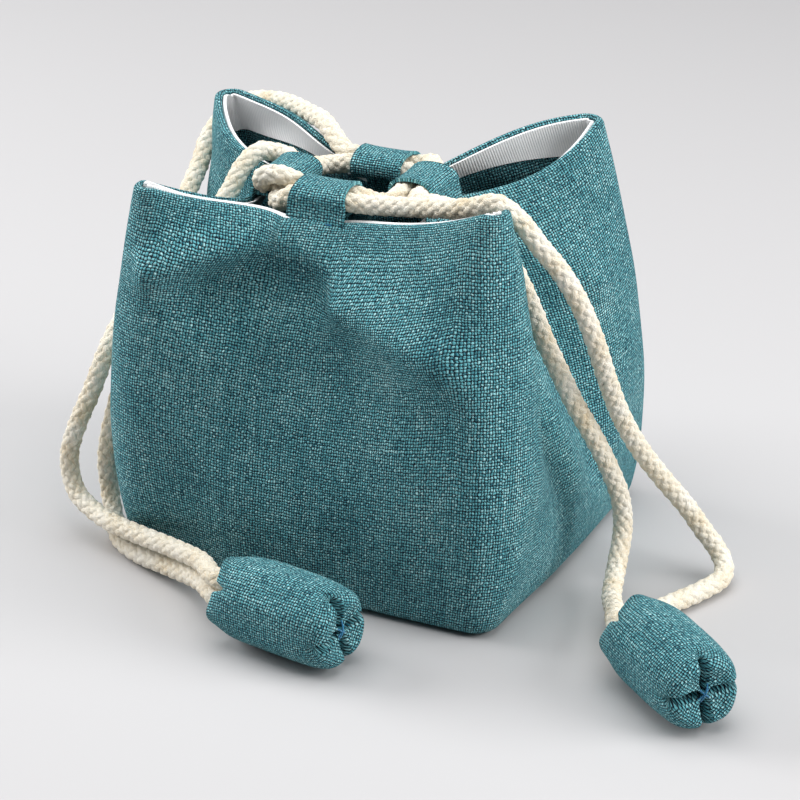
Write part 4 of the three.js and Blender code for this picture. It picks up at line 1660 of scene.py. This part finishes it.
@dataclass(frozen=True)
class Cords:
    """Both cords: their drawn spans through the loops and their free strands."""

    form: SoftForm
    cotton: Material
    braid: Braid
    lane_offset: float = 2.7
    clearance: float = 0.3
    span_lead: float = 1.0
    span_pull: float = 0.55
    span_points: int = 40
    bud_depth: float = 4.0

    def lane(self, wall: Wall, cord: str, place: float) -> Array:
        """Point on a cord's lane through a wall's loop, at a distance along the wall from its middle."""
        side = 1 if wall.outer_cord == cord else -1
        return LoopPlace(wall).point(self.lane_offset * side, place, 0.0)

    def length_of(self, name: str, path: Array, offset: float) -> Object:
        """Make a length of braided cord along a path.

        Args:
            name: Name of the piece.
            path: Evenly spaced points of its middle.
            offset: Length of the same cord before it.

        Returns:
            The piece.
        """
        bm = bmesh.new()
        self.braid.add(bm, path, offset)
        return make_piece(name, bm, self.cotton, Slot.CORD)

    def build_span(self, span: Span) -> None:
        """Make a span in two halves that meet between the loops.

        Args:
            span: The span.
        """
        first, second = (WALLS[name] for name in span.walls)
        inside = self.clearance / 2
        straight = LoopPlace(first).width / 2 + self.span_lead
        start = self.lane(first, span.cord, straight)
        end = self.lane(second, span.cord, -straight)
        pull = self.span_pull * np.linalg.norm(end - start)
        drop = np.array([0.0, 0.0, span.sag])
        leave = self.lane(first, span.cord, straight + pull) - drop
        arrive = self.lane(second, span.cord, -straight - pull) - drop
        curve = bezier(start, leave, arrive, end, self.span_points)
        line = np.vstack([self.lane(first, span.cord, inside), curve, self.lane(second, span.cord, -inside)])
        path = even_path(line, self.braid.step)
        middle = len(path) // 2
        for wall, part, offset, edge in (
            (first, path[: middle + 1], 0.0, start),
            (second, path[middle:], path_length(path[: middle + 1]), end),
        ):
            piece = self.length_of(f"{span.node}_by_{wall.name}", part, offset)
            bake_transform(piece)
            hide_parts(span.node)

    def build_strand(self, strand: Strand, bud: Bud, bud_piece: Object) -> None:
        """Make a free strand in two lengths, parted at one point of its route.

        Args:
            strand: The strand.
            bud: Bud that it ends in.
            bud_piece: The bud's cloth; not used.
        """
        wall = strand.half.wall
        width = LoopPlace(wall).width
        places = (self.clearance / 2, width / 4, width / 2)
        inside = [self.lane(wall, strand.cord, strand.exit_way * place) for place in places]
        seat = [bud.point(depth, *strand.seat) for depth in (-self.bud_depth, self.bud_depth)]
        path = smooth_path([*inside, *strand.route, *seat], self.braid.step)
        parting = int(np.argmin(np.linalg.norm(path - np.array(strand.route[strand.parting]), axis=1)))
        upper, lower = path[: parting + 1], path[parting:]
        top = self.length_of(f"{strand.name}_upper", upper, 0.0)
        if strand.upright is None:
            self.form.blend(top, strand.half)
        else:
            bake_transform(top)
        bottom = self.length_of(f"{strand.name}_lower", lower, path_length(upper))
        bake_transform(bottom)
        for piece, part, leaves, far_end, fittings in (
            (top, upper, inside[-1], "object", []),
            (bottom, lower, lower[0], "fitting", [bud_piece]),
        ):
            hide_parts(strand.name)

    def build(self, buds: dict[str, tuple[Bud, Object]]) -> None:
        """Make every span and strand.

        Args:
            buds: Each bud and its cloth, by name.
        """
        for span in SPANS:
            self.build_span(span)
        for strand in STRANDS:
            self.build_strand(strand, *buds[strand.bud])


@dataclass(frozen=True)
class Lamp:
    """Soft square lamp."""

    name: str
    place: Place
    aim: Place
    size: float
    power: float


@dataclass(frozen=True)
class Studio:
    """Camera, lamps and floor."""

    floor_finish: FloorFinish
    yaw: float = 24.9
    pitch: float = 24.0
    target: Place = (-14.6, 43.5, 16.1)
    distance: float = 1000.0
    lens: float = 160.58
    sensor: float = 36.0
    sight: float = 20.0
    floor_size: float = 6.0
    floor_drop: float = 0.3
    room_colour: Colour = paint(238, 240, 244)
    room_strength: float = 0.1
    lamps: tuple[Lamp, ...] = (
        Lamp("overhead", (0.02, 0.0, 0.95), (0.0, 0.0, 0.05), 1.1, 11.0),
        Lamp("right_side", (0.95, 0.1, 0.45), (0.0, 0.0, 0.05), 0.7, 9.8),
        Lamp("left_side", (-0.93, -0.06, 0.5), (0.0, 0.0, 0.05), 0.7, 10.2),
    )

    def build(self) -> None:
        """Set up the camera, the light and the floor."""
        self.camera()
        self.light()
        self.floor()

    def aim(self, name: str, data: Any, place: Vector, away: Vector) -> Object:
        """Stand a camera or a lamp at a place, with its back to a direction.

        Args:
            name: Name of the object.
            data: The camera or the lamp.
            place: Where it stands.
            away: Direction that its back faces.

        Returns:
            The object.
        """
        made = add_object(name, data)
        made.matrix_world = Matrix.Translation(place) @ away.to_track_quat("Z", "Y").to_matrix().to_4x4()
        return made

    def camera(self) -> None:
        """Stand the camera at the photograph's viewing angle."""
        yaw, pitch = math.radians(self.yaw), math.radians(self.pitch)
        back = Vector((math.sin(yaw) * math.cos(pitch), -math.cos(yaw) * math.cos(pitch), math.sin(pitch)))
        data = bpy.data.cameras.new("camera")
        data.sensor_width = self.sensor
        data.lens = self.lens
        data.clip_end = self.sight
        place = (Vector(self.target) + back * self.distance) * MM
        bpy.context.scene.camera = self.aim("camera", data, place, back)

    def light(self) -> None:
        """Hang soft lamps over and beside the pouch, in a plain bright room."""
        world = bpy.data.worlds.new("room")
        world.use_nodes = True
        background = world.node_tree.nodes["Background"]
        background.inputs["Color"].default_value = self.room_colour
        background.inputs["Strength"].default_value = self.room_strength
        bpy.context.scene.world = world
        bpy.context.scene.view_settings.view_transform = "Standard"
        for lamp in self.lamps:
            data = bpy.data.lights.new(lamp.name, "AREA")
            data.size = lamp.size
            data.energy = lamp.power
            place = Vector(lamp.place)
            self.aim(lamp.name, data, place, place - Vector(lamp.aim))

    def floor(self) -> None:
        """Lay the floor just under the pouch."""
        bm = bmesh.new()
        bmesh.ops.create_grid(bm, x_segments=1, y_segments=1, size=self.floor_size / 2)
        bmesh.ops.translate(bm, verts=bm.verts[:], vec=(0, 0, -self.floor_drop * MM))
        mesh = bpy.data.meshes.new("floor")
        bm.to_mesh(mesh)
        bm.free()
        mesh.materials.append(self.floor_finish.build())
        add_object("floor", mesh)


def main() -> None:
    """Build the pouch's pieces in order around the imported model."""
    logging.basicConfig(level=logging.INFO, format="%(name)s %(message)s")
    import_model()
    form = SoftForm()
    # the first colour of each weave is the painted shade between its yarns
    cloth = WeaveFinish(
        "teal_weave", paint(2, 30, 46), paint(36, 103, 119), paint(108, 186, 196), paint(188, 243, 247)
    ).build()
    # the first colour is the painted shade between the yarns
    lining = WeaveFinish(
        "lining_weave", paint(3, 34, 50), paint(40, 108, 123), paint(104, 180, 191), paint(174, 231, 236)
    ).build()
    # the first colour is the painted shade in the rib grooves
    facing = RibFinish("white_rib", paint(234, 235, 238), paint(254, 254, 254)).build()
    cotton = YarnFinish(
        "cream_cotton", paint(216, 190, 142), paint(247, 238, 218), paint(253, 249, 239)
    ).build()
    thread = YarnFinish("blue_thread", paint(16, 84, 128), paint(30, 124, 168), paint(60, 156, 196)).build()
    Studio(FloorFinish("pale_floor", paint(191, 190, 191))).build()
    buds = {}
    for bud in (Bud("left", (-8.8, -72.6), -12, 12.0), Bud("right", (92.2, -48.8), -41, 4.0)):
        buds[bud.name] = (bud, bud.build(cloth, thread))
    Cords(form, cotton, Braid()).build(buds)
    ClothWalls(form, cloth, lining, facing).build()
    Base(form, cloth, lining).build()
    Loops(form, cloth, thread).build()


if __name__ == "__main__":
    main()
